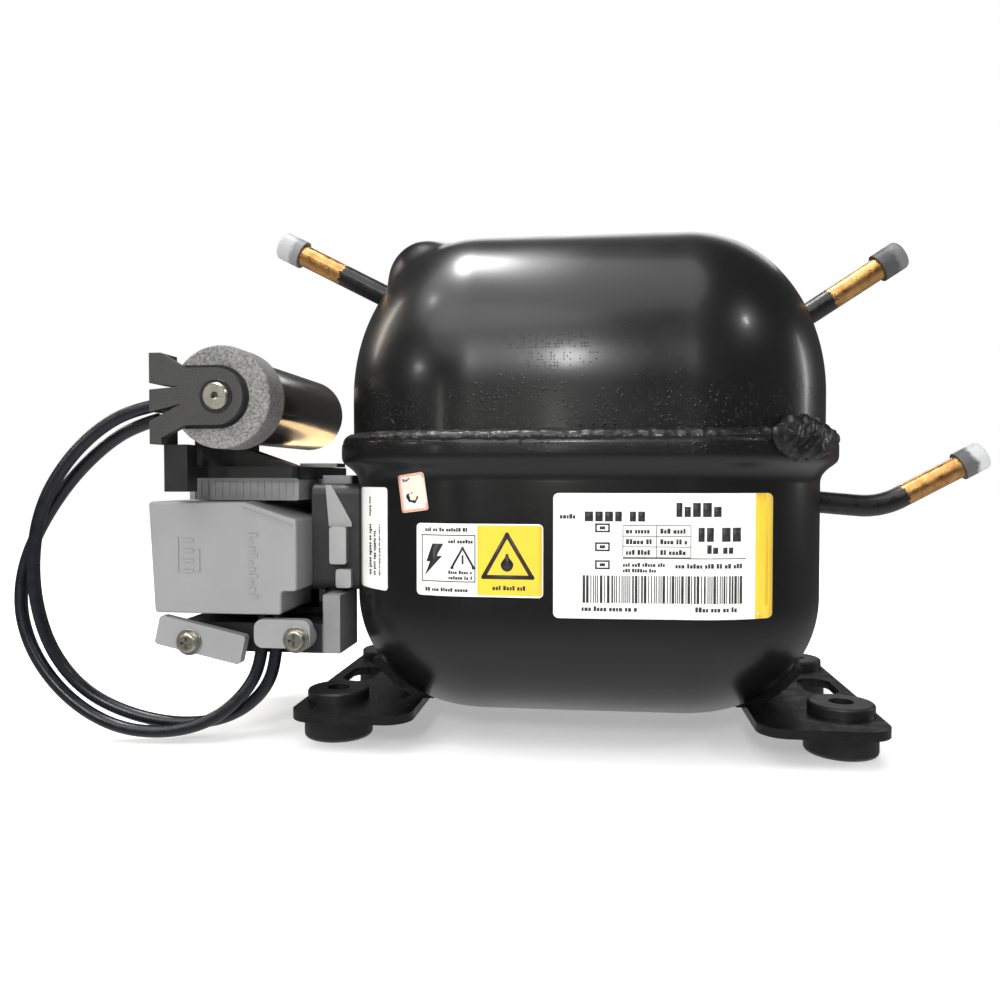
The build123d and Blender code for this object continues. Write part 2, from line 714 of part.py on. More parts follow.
# Two slits in the clip's wing where the leads come out.
WING_SLITS = [[(-141, 121), (-129, 119.5), (-141, 118.5)], [(-141, 111), (-128, 114), (-141, 107.5)]]

with BuildPart() as capacitor_can:
    with BuildSketch(Plane.XZ.offset(-CAN_REAR_Y)):
        with Locations((CAN_X, CAN_Z)):
            Circle(CAN_R)
    extrude(amount=CAN_REAR_Y - CAN_FRONT_Y)
    fillet(capacitor_can.edges().sort_by(Axis.Y)[-1], CAN_FILLET)
save(capacitor_can.part, "capacitor_can")

with BuildPart() as capacitor_end_cap:
    with BuildSketch(Plane.XZ.offset(-END_CAP_REAR_Y)):
        with Locations((CAN_X, CAN_Z)):
            Circle(END_CAP_R)
    extrude(amount=END_CAP_REAR_Y - END_CAP_FRONT_Y)
    fillet(capacitor_end_cap.edges().sort_by(Axis.Y)[0], END_CAP_FILLET)
    with BuildSketch(Plane.XZ.offset(-END_CAP_REAR_Y)):
        with Locations((CAN_X, CAN_Z)):
            Circle(CAN_R)
    extrude(amount=END_CAP_REAR_Y - CAN_FRONT_Y, mode=Mode.SUBTRACT)
save(capacitor_end_cap.part, "capacitor_end_cap")

tongue_bottom_z = CAN_Z - TONGUE_HALF
tongue_top_z = CAN_Z + TONGUE_HALF

with BuildPart() as capacitor_clip:
    with BuildSketch(Plane.XZ.offset(-END_CAP_FRONT_Y)):
        with BuildLine():
            Line((WING_RIGHT_X, tongue_top_z), (TONGUE_END_X - TONGUE_HALF, tongue_top_z))
            ThreePointArc(
                (TONGUE_END_X - TONGUE_HALF, tongue_top_z),
                (TONGUE_END_X, CAN_Z),
                (TONGUE_END_X - TONGUE_HALF, tongue_bottom_z),
            )
            Polyline(
                (TONGUE_END_X - TONGUE_HALF, tongue_bottom_z),
                (WING_RIGHT_X, tongue_bottom_z),
                (WING_LEFT_X, WING_BOTTOM_Z),
                (WING_LEFT_X, WING_TOP_Z),
                (WING_LEFT_X + WING_TAB, WING_TOP_Z),
                (WING_RIGHT_X, tongue_top_z),
            )
        make_face()
        with Locations((CAN_X, CAN_Z)):
            Circle(STUD_R, mode=Mode.SUBTRACT)
    extrude(amount=END_CAP_FRONT_Y - CLIP_FRONT_Y)
    with BuildSketch(Plane.XZ.offset(-WING_REAR_Y)):
        with Locations((WING_LEFT_X + WING_TAB / 2, (WING_BOTTOM_Z + WING_TOP_Z) / 2)):
            Rectangle(WING_TAB, WING_TOP_Z - WING_BOTTOM_Z)
    extrude(amount=WING_REAR_Y - CLIP_FRONT_Y)
    with BuildSketch(Plane.XZ.offset(-WING_REAR_Y)):
        for slit in WING_SLITS:
            with BuildLine():
                Polyline(*slit, close=True)
            make_face()
    extrude(amount=WING_REAR_Y - CLIP_FRONT_Y, mode=Mode.SUBTRACT)
save(capacitor_clip.part, "capacitor_clip")

with BuildPart() as capacitor_stud:
    with BuildSketch(Plane.XZ.offset(-END_CAP_FRONT_Y)):
        with Locations((CAN_X, CAN_Z)):
            Circle(STUD_R)
    extrude(amount=STUD_LENGTH)
    chamfer(capacitor_stud.edges().sort_by(Axis.Y)[0], STUD_CHAMFER)
    with BuildSketch(Plane.XZ.offset(-END_CAP_FRONT_Y + STUD_LENGTH)):
        with Locations((CAN_X, CAN_Z)):
            RegularPolygon(HEX_R, 6)
    extrude(amount=-HEX_DEPTH, mode=Mode.SUBTRACT)
save(capacitor_stud.part, "capacitor_stud")

SHELF_TOP_Z = 94.0
SHELF_LEFT_X = -136.0
SHELF_RIGHT_X = -96.0
SHELF_FRONT_Y = -45.0
SHELF_REAR_Y = 14.0
SHELF_CORNER = 3.0
CRADLE_TOP_Z = 109.0
CRADLE_LEFT_X = -133.5
CRADLE_RIGHT_X = -113.5
CRADLE_FOOT_X = -97.5
CRADLE_SHOULDER_Z = 99.5
CRADLE_FRONT_Y = -43.0
CRADLE_REAR_Y = -35.0
POST_WIDTH = 8.0
ARM_REAR_Y = -42.5
POST_FRONT_Y = -59.5
POST_REAR_Y = -52.5
POST_BOTTOM_Z = 85.5
post_x = SHELF_LEFT_X + POST_WIDTH / 2

with BuildPart() as capacitor_bracket:
    with BuildSketch(Plane.XY.offset(TRAY_TOP_Z)):
        with Locations(((SHELF_LEFT_X + SHELF_RIGHT_X) / 2, (SHELF_FRONT_Y + SHELF_REAR_Y) / 2)):
            RectangleRounded(SHELF_RIGHT_X - SHELF_LEFT_X, SHELF_REAR_Y - SHELF_FRONT_Y, SHELF_CORNER)
    extrude(amount=SHELF_TOP_Z - TRAY_TOP_Z)
    with BuildSketch(Plane.XZ.offset(-CRADLE_REAR_Y)):
        with BuildLine():
            Polyline(
                (CRADLE_LEFT_X, SHELF_TOP_Z),
                (CRADLE_FOOT_X, SHELF_TOP_Z),
                (CRADLE_RIGHT_X, CRADLE_SHOULDER_Z),
                (CRADLE_RIGHT_X, CRADLE_TOP_Z),
                (CRADLE_LEFT_X, CRADLE_TOP_Z),
                close=True,
            )
        make_face()
    extrude(amount=CRADLE_REAR_Y - CRADLE_FRONT_Y)
    with BuildSketch(Plane.XY.offset(TRAY_TOP_Z)):
        with Locations((post_x, (POST_FRONT_Y + ARM_REAR_Y) / 2)):
            Rectangle(POST_WIDTH, ARM_REAR_Y - POST_FRONT_Y)
    extrude(amount=SHELF_TOP_Z - TRAY_TOP_Z)
    with BuildSketch(Plane.XY.offset(POST_BOTTOM_Z)):
        with Locations((post_x, (POST_FRONT_Y + POST_REAR_Y) / 2)):
            Rectangle(POST_WIDTH, POST_REAR_Y - POST_FRONT_Y)
    extrude(amount=WING_BOTTOM_Z - POST_BOTTOM_Z)
    with BuildSketch(Plane.XZ.offset(-SHELF_REAR_Y)):
        with Locations((CAN_X, CAN_Z)):
            Circle(CAN_R)
    extrude(amount=SHELF_REAR_Y - POST_FRONT_Y, mode=Mode.SUBTRACT)
    with BuildSketch(Plane.XZ.offset(-END_CAP_REAR_Y)):
        with Locations((CAN_X, CAN_Z)):
            Circle(END_CAP_R)
    extrude(amount=END_CAP_REAR_Y - POST_FRONT_Y, mode=Mode.SUBTRACT)
save(capacitor_bracket.part, "capacitor_bracket")


# ---------------------------------------------------------------- capacitor leads

# Both leads hang in a loop from the clip on the capacitor to the right clamp bar.
LEAD_ROUTES = {
    "capacitor_lead_a": [
        (-138.9, -57, 114.2), (-149, -57, 112.4), (-160.5, -57.2, 106.2), (-171, -58, 96),
        (-179.5, -58.8, 82), (-184, -58, 65), (-184.5, -56, 47), (-180, -54, 30),
        (-169.5, -52, 16.5), (-154, -50, 8.6), (-137, -47.6, 5.2), (-121, -46, 7.2),
        (-108.8, -45.2, 15.5), (-103.4, -45.1, 27.5), (-103.2, -45.1, 44),
    ],
    "capacitor_lead_b": [
        (-138.9, -57, 109.4), (-149, -54, 107.4), (-161, -52.4, 101), (-173.5, -52.4, 89.5),
        (-184, -53, 74.5), (-190.5, -54, 59), (-190.8, -55.2, 43), (-184.5, -55.6, 27.5),
        (-172.5, -55.4, 14), (-157, -54.4, 5.2), (-140, -53, 3.6), (-124.5, -51.4, 7.4),
        (-113.6, -48, 16.5), (-108.4, -45.4, 28), (-107.9, -45.1, 44),
    ],
}


def lead_radii(points):
    """Largest radius that the two runs beside each corner leave room for."""
    radii = []
    for before, corner, after in zip(points, points[1:], points[2:]):
        arriving = Vector(*corner) - Vector(*before)
        leaving = Vector(*after) - Vector(*corner)
        half_turn = math.radians(arriving.get_angle(leaving) / 2)
        radii.append(0.45 * min(arriving.length, leaving.length) / math.tan(half_turn))
    return radii


for name, points in LEAD_ROUTES.items():
    radii = lead_radii(points)
    with BuildPart() as lead:
        with BuildLine() as path:
            FilletPolyline(*points, radius=radii)
        with BuildSketch(Plane(path.line @ 0, z_dir=path.line % 0)):
            Circle(LEAD_R)
        sweep()
    length = sum(edge.length for edge in path.edges())
    expected = math.pi * LEAD_R**2 * length
    print(name, "length", round(length, 1), "radii", [round(r, 1) for r in radii])
    print(name, "volume", round(lead.part.volume, 1), "section times length", round(expected, 1))
    save(lead.part, name)


# ---------------------------------------------------------------- pump block, hung on springs

PLATE_LOW_Z = 96.0
PLATE_HIGH_Z = 104.0
STATOR_HALF = 50.0
STATOR_LOW_Z = 42.0
STATOR_HIGH_Z = 80.0
STATOR_BORE_R = 29.2
BOLT_SPOT = 37.0
BOLT_R = 3.0
LEG_R = 7.0
HUB_R = 15.0
HUB_LOW_Z = 62.0
BARREL_NEAR_X = 12.5
BARREL_FAR_X = 45.3
BARREL_SIZE = 46.0
HEAD_BOLT_SPOT = 18.0
HEAD_BOLT_R = 2.5
HEAD_BOLT_HEX_R = 4.4
HEAD_BOLT_HEX_T = 3.5
# Centres and sizes in the valve faces, measured from the cylinder's axis.
SUCTION_PORT = (-4.0, 0.0)
SUCTION_PORT_R = 2.8
SUCTION_REED_AT = (2.0, 0.0)
SUCTION_REED_SIZE = (22.0, 8.0)
DISCHARGE_PORT = (7.5, 4.0)
DISCHARGE_PORT_R = 2.0
DISCHARGE_REED_AT = (7.5, 0.0)
DISCHARGE_REED_SIZE = (20.0, 6.0)
CHAMBERS = [(-8.5, 0.0), (7.5, 0.0)]
CHAMBER_SIZE = (13.0, 24.0)
CHAMBER_CORNER = 3.0
CHAMBER_ROOF = 5.0
GASKET_T = 0.5
REED_T = 0.3
VALVE_PLATE_T = 3.0
HEAD_T = 14.0
SLOTS = 24
STATOR_CORNER = 12.0
SLOT_CIRCLE_R = 36.5
SLOT_SIZE = (11.0, 5.0)
SLOT_CORNER = 1.5
SLOT_MOUTH_R = 30.5
SLOT_MOUTH = (4.0, 2.0)
BOLT_REACH = 20.0
HEAD_BOLT_REACH = 15.0
HEAD_CORNER = 6.0

cylinder_plane = Plane((0, 0, CYLINDER_Z), x_dir=(0, 1, 0), z_dir=(1, 0, 0))
head_bolt_grid = GridLocations(2 * HEAD_BOLT_SPOT, 2 * HEAD_BOLT_SPOT, 2, 2)
gasket_x = BARREL_FAR_X
suction_reed_x = gasket_x + GASKET_T
valve_plate_x = suction_reed_x + REED_T
discharge_reed_x = valve_plate_x + VALVE_PLATE_T
head_x = discharge_reed_x


def bolt_corners():
    """The four stator bolt positions round the shaft, in plan."""
    return [
        (SHAFT_X + i * BOLT_SPOT, j * BOLT_SPOT) for i in (-1, 1) for j in (-1, 1)
    ]


with BuildPart() as crankcase:
    with BuildSketch(Plane.XY.offset(PLATE_LOW_Z)):
        with Locations((SHAFT_X, 0)):
            RectangleRounded(2 * STATOR_HALF, 2 * STATOR_HALF, 12)
    extrude(amount=PLATE_HIGH_Z - PLATE_LOW_Z)
    with BuildSketch(Plane.XY.offset(STATOR_HIGH_Z)):
        with Locations(bolt_corners()):
            Circle(LEG_R)
    extrude(amount=PLATE_LOW_Z - STATOR_HIGH_Z)
    with BuildSketch(Plane.XY.offset(HUB_LOW_Z)):
        with Locations((SHAFT_X, 0)):
            Circle(HUB_R)
    extrude(amount=PLATE_LOW_Z - HUB_LOW_Z)
    with BuildSketch(cylinder_plane.offset(BARREL_NEAR_X)):
        RectangleRounded(BARREL_SIZE, BARREL_SIZE, HEAD_CORNER)
    extrude(amount=BARREL_FAR_X - BARREL_NEAR_X)
    with BuildSketch(cylinder_plane.offset(BARREL_NEAR_X)):
        Circle(BORE_R)
    extrude(amount=BARREL_FAR_X - BARREL_NEAR_X, mode=Mode.SUBTRACT)
    with BuildSketch(cylinder_plane.offset(BARREL_FAR_X)):
        with head_bolt_grid:
            Circle(HEAD_BOLT_R)
    extrude(amount=-HEAD_BOLT_REACH, mode=Mode.SUBTRACT)
    with BuildSketch(Plane.XY.offset(HUB_LOW_Z)):
        with Locations((SHAFT_X, 0)):
            Circle(SHAFT_R + RUNNING)
    extrude(amount=PLATE_HIGH_Z - HUB_LOW_Z, mode=Mode.SUBTRACT)
    with BuildSketch(Plane.XY.offset(STATOR_HIGH_Z)):
        with Locations(bolt_corners()):
            Circle(BOLT_R)
    extrude(amount=BOLT_REACH, mode=Mode.SUBTRACT)
save(crankcase.part, "crankcase")

with BuildPart() as stator_core:
    with BuildSketch(Plane.XY.offset(STATOR_LOW_Z)):
        with Locations((SHAFT_X, 0)):
            RectangleRounded(2 * STATOR_HALF, 2 * STATOR_HALF, STATOR_CORNER)
            Circle(STATOR_BORE_R, mode=Mode.SUBTRACT)
            with PolarLocations(SLOT_CIRCLE_R, SLOTS):
                RectangleRounded(*SLOT_SIZE, SLOT_CORNER, mode=Mode.SUBTRACT)
            with PolarLocations(SLOT_MOUTH_R, SLOTS):
                Rectangle(*SLOT_MOUTH, mode=Mode.SUBTRACT)
        with Locations(bolt_corners()):
            Circle(BOLT_R, mode=Mode.SUBTRACT)
    extrude(amount=STATOR_HIGH_Z - STATOR_LOW_Z)
save(stator_core.part, "stator_core")

WINDING_LOW_Z = 30.0
WINDING_HIGH_Z = 92.0
WINDING_GAP = 0.5
WINDING_SIZE = (10.0, 4.2)
WINDING_CORNER = 1.2
WINDING_OUTER_R = 42.5
WINDING_INNER_R = 30.8
WINDING_FILLET = 4.0
WINDING_OVERHANG = 4.0

with BuildPart() as stator_windings:
    with BuildSketch(Plane.XY.offset(STATOR_LOW_Z - WINDING_OVERHANG)):
        with Locations((SHAFT_X, 0)):
            with PolarLocations(SLOT_CIRCLE_R, SLOTS):
                RectangleRounded(*WINDING_SIZE, WINDING_CORNER)
    extrude(amount=STATOR_HIGH_Z - STATOR_LOW_Z + 2 * WINDING_OVERHANG)
    for low_z, high_z in (
        (WINDING_LOW_Z, STATOR_LOW_Z - WINDING_GAP),
        (STATOR_HIGH_Z + WINDING_GAP, WINDING_HIGH_Z),
    ):
        with BuildSketch(Plane.XY.offset(low_z)):
            with Locations((SHAFT_X, 0)):
                Circle(WINDING_OUTER_R)
                Circle(WINDING_INNER_R, mode=Mode.SUBTRACT)
        extrude(amount=high_z - low_z)
    fillet(stator_windings.edges().group_by(Axis.Z)[-1], WINDING_FILLET)
    fillet(stator_windings.edges().group_by(Axis.Z)[0], WINDING_FILLET)
save(stator_windings.part, "stator_windings")

BOLT_HEAD_R = 5.0
BOLT_HEAD_T = 4.0

with BuildPart() as stator_bolts:
    with BuildSketch(Plane.XY.offset(STATOR_LOW_Z)):
        with Locations(bolt_corners()):
            Circle(BOLT_R)
    extrude(amount=STATOR_HIGH_Z - STATOR_LOW_Z + BOLT_REACH)
    with BuildSketch(Plane.XY.offset(STATOR_LOW_Z - BOLT_HEAD_T)):
        with Locations(bolt_corners()):
            RegularPolygon(BOLT_HEAD_R, 6)
    extrude(amount=BOLT_HEAD_T)
save(stator_bolts.part, "stator_bolts")

with BuildPart() as head_gasket:
    with BuildSketch(cylinder_plane.offset(gasket_x)):
        RectangleRounded(BARREL_SIZE, BARREL_SIZE, HEAD_CORNER)
        Circle(BORE_R + 0.5, mode=Mode.SUBTRACT)
        with head_bolt_grid:
            Circle(HEAD_BOLT_R, mode=Mode.SUBTRACT)
    extrude(amount=GASKET_T)
save(head_gasket.part, "head_gasket")

with BuildPart() as valve_reeds:
    with BuildSketch(cylinder_plane.offset(suction_reed_x)):
        RectangleRounded(BARREL_SIZE, BARREL_SIZE, HEAD_CORNER)
        Circle(BORE_R, mode=Mode.SUBTRACT)
        with Locations(SUCTION_REED_AT):
            SlotOverall(*SUCTION_REED_SIZE)
        with head_bolt_grid:
            Circle(HEAD_BOLT_R, mode=Mode.SUBTRACT)
    extrude(amount=REED_T)
    with BuildSketch(cylinder_plane.offset(discharge_reed_x)):
        with Locations(DISCHARGE_REED_AT):
            SlotOverall(*DISCHARGE_REED_SIZE, rotation=90)
    extrude(amount=REED_T)
save(valve_reeds.part, "valve_reeds")

with BuildPart() as valve_plate:
    with BuildSketch(cylinder_plane.offset(valve_plate_x)):
        RectangleRounded(BARREL_SIZE, BARREL_SIZE, HEAD_CORNER)
        with head_bolt_grid:
            Circle(HEAD_BOLT_R, mode=Mode.SUBTRACT)
        with Locations(SUCTION_PORT):
            Circle(SUCTION_PORT_R, mode=Mode.SUBTRACT)
        with Locations(DISCHARGE_PORT):
            Circle(DISCHARGE_PORT_R, mode=Mode.SUBTRACT)
    extrude(amount=VALVE_PLATE_T)
save(valve_plate.part, "valve_plate")

with BuildPart() as cylinder_head:
    with BuildSketch(cylinder_plane.offset(head_x)):
        RectangleRounded(BARREL_SIZE, BARREL_SIZE, HEAD_CORNER)
    extrude(amount=HEAD_T)
    fillet(cylinder_head.edges().group_by(Axis.X)[-1], 2)
    with BuildSketch(cylinder_plane.offset(head_x)):
        with Locations(CHAMBERS):
            RectangleRounded(*CHAMBER_SIZE, CHAMBER_CORNER)
    extrude(amount=HEAD_T - CHAMBER_ROOF, mode=Mode.SUBTRACT)
    with BuildSketch(cylinder_plane.offset(head_x)):
        with head_bolt_grid:
            Circle(HEAD_BOLT_R)
    extrude(amount=HEAD_T, mode=Mode.SUBTRACT)
save(cylinder_head.part, "cylinder_head")

with BuildPart() as head_bolts:
    with BuildSketch(cylinder_plane.offset(BARREL_FAR_X - HEAD_BOLT_REACH)):
        with head_bolt_grid:
            Circle(HEAD_BOLT_R)
    extrude(amount=head_x + HEAD_T - BARREL_FAR_X + HEAD_BOLT_REACH)
    with BuildSketch(cylinder_plane.offset(head_x + HEAD_T)):
        with head_bolt_grid:
            RegularPolygon(HEAD_BOLT_HEX_R, 6)
    extrude(amount=HEAD_BOLT_HEX_T)
save(head_bolts.part, "head_bolts")

SUCTION_MUFFLER_AT = (33.0, -38.5)
SUCTION_MUFFLER_SIZE = (36.0, 22.0)
SUCTION_MUFFLER_Z = 108.0
SUCTION_MUFFLER_HEIGHT = 35.0
SUCTION_MUFFLER_CORNER = 6.0
SUCTION_MUFFLER_FILLET = 3.0
SUCTION_NECK_X = 50.0
SUCTION_NECK_SIZE = (10.0, 12.0)
SUCTION_NECK_LENGTH = 14.0
SUCTION_NECK_CORNER = 2.0

with BuildPart() as suction_muffler:
    with BuildSketch(Plane.XY.offset(SUCTION_MUFFLER_Z)):
        with Locations(SUCTION_MUFFLER_AT):
            RectangleRounded(*SUCTION_MUFFLER_SIZE, SUCTION_MUFFLER_CORNER)
    extrude(amount=SUCTION_MUFFLER_HEIGHT)
    fillet(suction_muffler.edges().group_by(Axis.Z)[-1], SUCTION_MUFFLER_FILLET)
    fillet(suction_muffler.edges().group_by(Axis.Z)[0], SUCTION_MUFFLER_FILLET)
    with BuildSketch(Plane.XZ.offset(BARREL_SIZE / 2)):
        with Locations((SUCTION_NECK_X, CYLINDER_Z)):
            RectangleRounded(*SUCTION_NECK_SIZE, SUCTION_NECK_CORNER)
    extrude(amount=SUCTION_NECK_LENGTH)
save(suction_muffler.part, "suction_muffler")

MUFFLER_X = 26.0
MUFFLER_Y = 36.5
MUFFLER_R = 12.0
MUFFLER_HEIGHT = 24.0
MUFFLER_FILLET = 6.0

with BuildPart() as discharge_muffler:
    with BuildSketch(Plane.XY.offset(PLATE_HIGH_Z)):
        with Locations((MUFFLER_X, MUFFLER_Y)):
            Circle(MUFFLER_R)
    extrude(amount=MUFFLER_HEIGHT)
    fillet(discharge_muffler.edges().group_by(Axis.Z)[-1], MUFFLER_FILLET)
save(discharge_muffler.part, "discharge_muffler")

DISCHARGE_LINE = [
    (MUFFLER_X, MUFFLER_Y, PLATE_HIGH_Z + MUFFLER_HEIGHT), (MUFFLER_X, MUFFLER_Y, 144), (6, 43, 153),
    (-20, 42, 155), (-40, 27, 151), (-43, 3, 144), (-52, -8, 147), DISCHARGE_ROUTE[0],
]
LINE_R = 2.4
LINE_BEND_R = 7.0

with BuildPart() as discharge_line:
    with BuildLine() as path:
        FilletPolyline(*DISCHARGE_LINE, radius=LINE_BEND_R)
    with BuildSketch(Plane(path.line @ 0, z_dir=path.line % 0)):
        Circle(LINE_R)
    sweep()
save(discharge_line.part, "discharge_line")


# ---------------------------------------------------------------- suspension

SEAT_R = 8.2
PEG_R = 4.6
LOWER_SEAT_Z = 22.5
LOWER_PEG_Z = 26.0
UPPER_SEAT_Z = 35.5
UPPER_PEG_Z = 31.0
SPRING_R = 6.2
WIRE_R = 0.8
SPRING_TURNS = 5

with BuildPart() as spring_seats_lower:
    with BuildSketch(Plane.XY.offset(BOWL_FLOOR_Z)):
        with Locations(bolt_corners()):
            Circle(SEAT_R)
    extrude(amount=LOWER_SEAT_Z - BOWL_FLOOR_Z)
    with BuildSketch(Plane.XY.offset(LOWER_SEAT_Z)):
        with Locations(bolt_corners()):
            Circle(PEG_R)
    extrude(amount=LOWER_PEG_Z - LOWER_SEAT_Z)
    add(LOWER_INNER, mode=Mode.INTERSECT)
save(spring_seats_lower.part, "spring_seats_lower")

with BuildPart() as spring_seats_upper:
    with BuildSketch(Plane.XY.offset(UPPER_SEAT_Z)):
        with Locations(bolt_corners()):
            Circle(SEAT_R)
    extrude(amount=STATOR_LOW_Z - BOLT_HEAD_T - UPPER_SEAT_Z)
    with BuildSketch(Plane.XY.offset(UPPER_PEG_Z)):
        with Locations(bolt_corners()):
            Circle(PEG_R)
    extrude(amount=UPPER_SEAT_Z - UPPER_PEG_Z)
save(spring_seats_upper.part, "spring_seats_upper")

spring_height = UPPER_SEAT_Z - LOWER_SEAT_Z - 2 * WIRE_R

with BuildPart() as coil:
    with BuildLine() as path:
        Helix(pitch=spring_height / SPRING_TURNS, height=spring_height, radius=SPRING_R)
    with BuildSketch(Plane(path.line @ 0, z_dir=path.line % 0)):
        Circle(WIRE_R)
    sweep(is_frenet=True)

with BuildPart() as suspension_springs:
    for x, y in bolt_corners():
        add(Pos(x, y, LOWER_SEAT_Z + WIRE_R) * coil.part)
save(suspension_springs.part, "suspension_springs")


# ---------------------------------------------------------------- crankshaft and rotor

SHAFT_LOW_Z = 32.0
WEB_LOW_Z = 104.3
WEB_HIGH_Z = 110.0
WEB_R = 15.0
WEIGHT_R = 21.0
WEIGHT_LIFT = 0.3
WEIGHT_CUT = 4.0
PIN_CRANK_R = 5.0
PIN_TOP_Z = 131.0
GALLERY_R = 2.2
GALLERY_TOP_Z = 98.0
PLUG_LENGTH = 13.0

with BuildPart() as crankshaft:
    with BuildSketch(Plane.XY.offset(SHAFT_LOW_Z)):
        with Locations((SHAFT_X, 0)):
            Circle(SHAFT_R)
    extrude(amount=WEB_LOW_Z - SHAFT_LOW_Z)
    with BuildSketch(Plane.XY.offset(WEB_LOW_Z)):
        with Locations((SHAFT_X, 0)):
            Circle(WEB_R)
    extrude(amount=WEB_HIGH_Z - WEB_LOW_Z)
    with BuildSketch(Plane.XY.offset(WEB_HIGH_Z)):
        with Locations((SHAFT_X + CRANK_THROW, 0)):
            Circle(PIN_CRANK_R)
    extrude(amount=PIN_TOP_Z - WEB_HIGH_Z)
    with BuildSketch(Plane.XY.offset(SHAFT_LOW_Z)):
        with Locations((SHAFT_X + CRANK_THROW / 2, 0)):
            Circle(GALLERY_R)
    extrude(amount=GALLERY_TOP_Z - SHAFT_LOW_Z, mode=Mode.SUBTRACT)
save(crankshaft.part, "crankshaft")

with BuildPart() as oil_gallery_plug:
    with BuildSketch(Plane.XY.offset(GALLERY_TOP_Z - PLUG_LENGTH - 1)):
        with Locations((SHAFT_X + CRANK_THROW / 2, 0)):
            Circle(GALLERY_R - RUNNING)
    extrude(amount=PLUG_LENGTH)
save(oil_gallery_plug.part, "oil_gallery_plug")

with BuildPart() as counterweight:
    with BuildSketch(Plane.XY.offset(WEB_LOW_Z + WEIGHT_LIFT)):
        with Locations((SHAFT_X, 0)):
            Circle(WEIGHT_R)
            Circle(WEB_R, mode=Mode.SUBTRACT)
        with Locations((SHAFT_X + WEIGHT_R - WEIGHT_CUT, 0)):
            Rectangle(2 * WEIGHT_R, 2 * WEIGHT_R + 1, mode=Mode.SUBTRACT)
    extrude(amount=WEB_HIGH_Z - WEB_LOW_Z - WEIGHT_LIFT)
save(counterweight.part, "counterweight")

ROTOR_R = 28.6
RING_R = 28.0
RING_BORE_R = 18.5
RING_T = 6.0
BAR_R = 1.5
BAR_CIRCLE_R = 25.5
BARS = 24
COUNTERBORE_R = 17.0
COUNTERBORE_Z = 58.0

with BuildPart() as rotor_core:
    with BuildSketch(Plane.XY.offset(STATOR_LOW_Z)):
        with Locations((SHAFT_X, 0)):
            Circle(ROTOR_R)
            Circle(SHAFT_R, mode=Mode.SUBTRACT)
            with PolarLocations(BAR_CIRCLE_R, BARS):
                Circle(BAR_R, mode=Mode.SUBTRACT)
    extrude(amount=STATOR_HIGH_Z - STATOR_LOW_Z)
    with BuildSketch(Plane.XY.offset(COUNTERBORE_Z)):
        with Locations((SHAFT_X, 0)):
            Circle(COUNTERBORE_R)
    extrude(amount=STATOR_HIGH_Z - COUNTERBORE_Z, mode=Mode.SUBTRACT)
save(rotor_core.part, "rotor_core")

with BuildPart() as rotor_cage:
    with BuildSketch(Plane.XY.offset(STATOR_LOW_Z)):
        with Locations((SHAFT_X, 0)):
            with PolarLocations(BAR_CIRCLE_R, BARS):
                Circle(BAR_R)
    extrude(amount=STATOR_HIGH_Z - STATOR_LOW_Z)
    for low_z in (STATOR_LOW_Z - RING_T, STATOR_HIGH_Z):
        with BuildSketch(Plane.XY.offset(low_z)):
            with Locations((SHAFT_X, 0)):
                Circle(RING_R)
                Circle(RING_BORE_R, mode=Mode.SUBTRACT)
        extrude(amount=RING_T)
save(rotor_cage.part, "rotor_cage")

PICKUP_PROFILE = [(2.5, 16.5), (4.0, 16.5), (10.0, 25.0), (10.0, 36.0), (8.0, 36.0), (8.0, 32.0),
                  (7.0, 32.0), (7.0, 25.0), (2.5, 19.5)]

with BuildPart() as oil_pickup:
    with BuildSketch(Plane((SHAFT_X, 0, 0), x_dir=(1, 0, 0), z_dir=(0, -1, 0))):
        with BuildLine():
            Polyline(*PICKUP_PROFILE, close=True)
        make_face()
    revolve(axis=Axis((SHAFT_X, 0, 0), (0, 0, 1)))
save(oil_pickup.part, "oil_pickup")


# ---------------------------------------------------------------- slide block, yoke and piston

YOKE_X = SHAFT_X + CRANK_THROW
YOKE_R = 12.0
YOKE_BORE_R = 9.0
YOKE_LENGTH = 38.0
BLOCK_LENGTH = 17.0
PISTON_FACE_X = BARREL_FAR_X - 0.3
PISTON_WALL = 3.0
PISTON_ROOF = 4.0
WEB_HOLE_R = 4.0
YOKE_SLOT_LENGTH = 30.0
YOKE_SLOT_GAP = 0.4

with BuildPart() as slide_block:
    with BuildSketch(Plane.XZ.offset(-BLOCK_LENGTH / 2)):
        with Locations((YOKE_X, CYLINDER_Z)):
            Circle(YOKE_BORE_R - RUNNING)
    extrude(amount=BLOCK_LENGTH)
    with BuildSketch(Plane.XY.offset(CYLINDER_Z - YOKE_BORE_R)):
        with Locations((YOKE_X, 0)):
            Circle(PIN_CRANK_R + RUNNING)
    extrude(amount=2 * YOKE_BORE_R, mode=Mode.SUBTRACT)
save(slide_block.part, "slide_block")

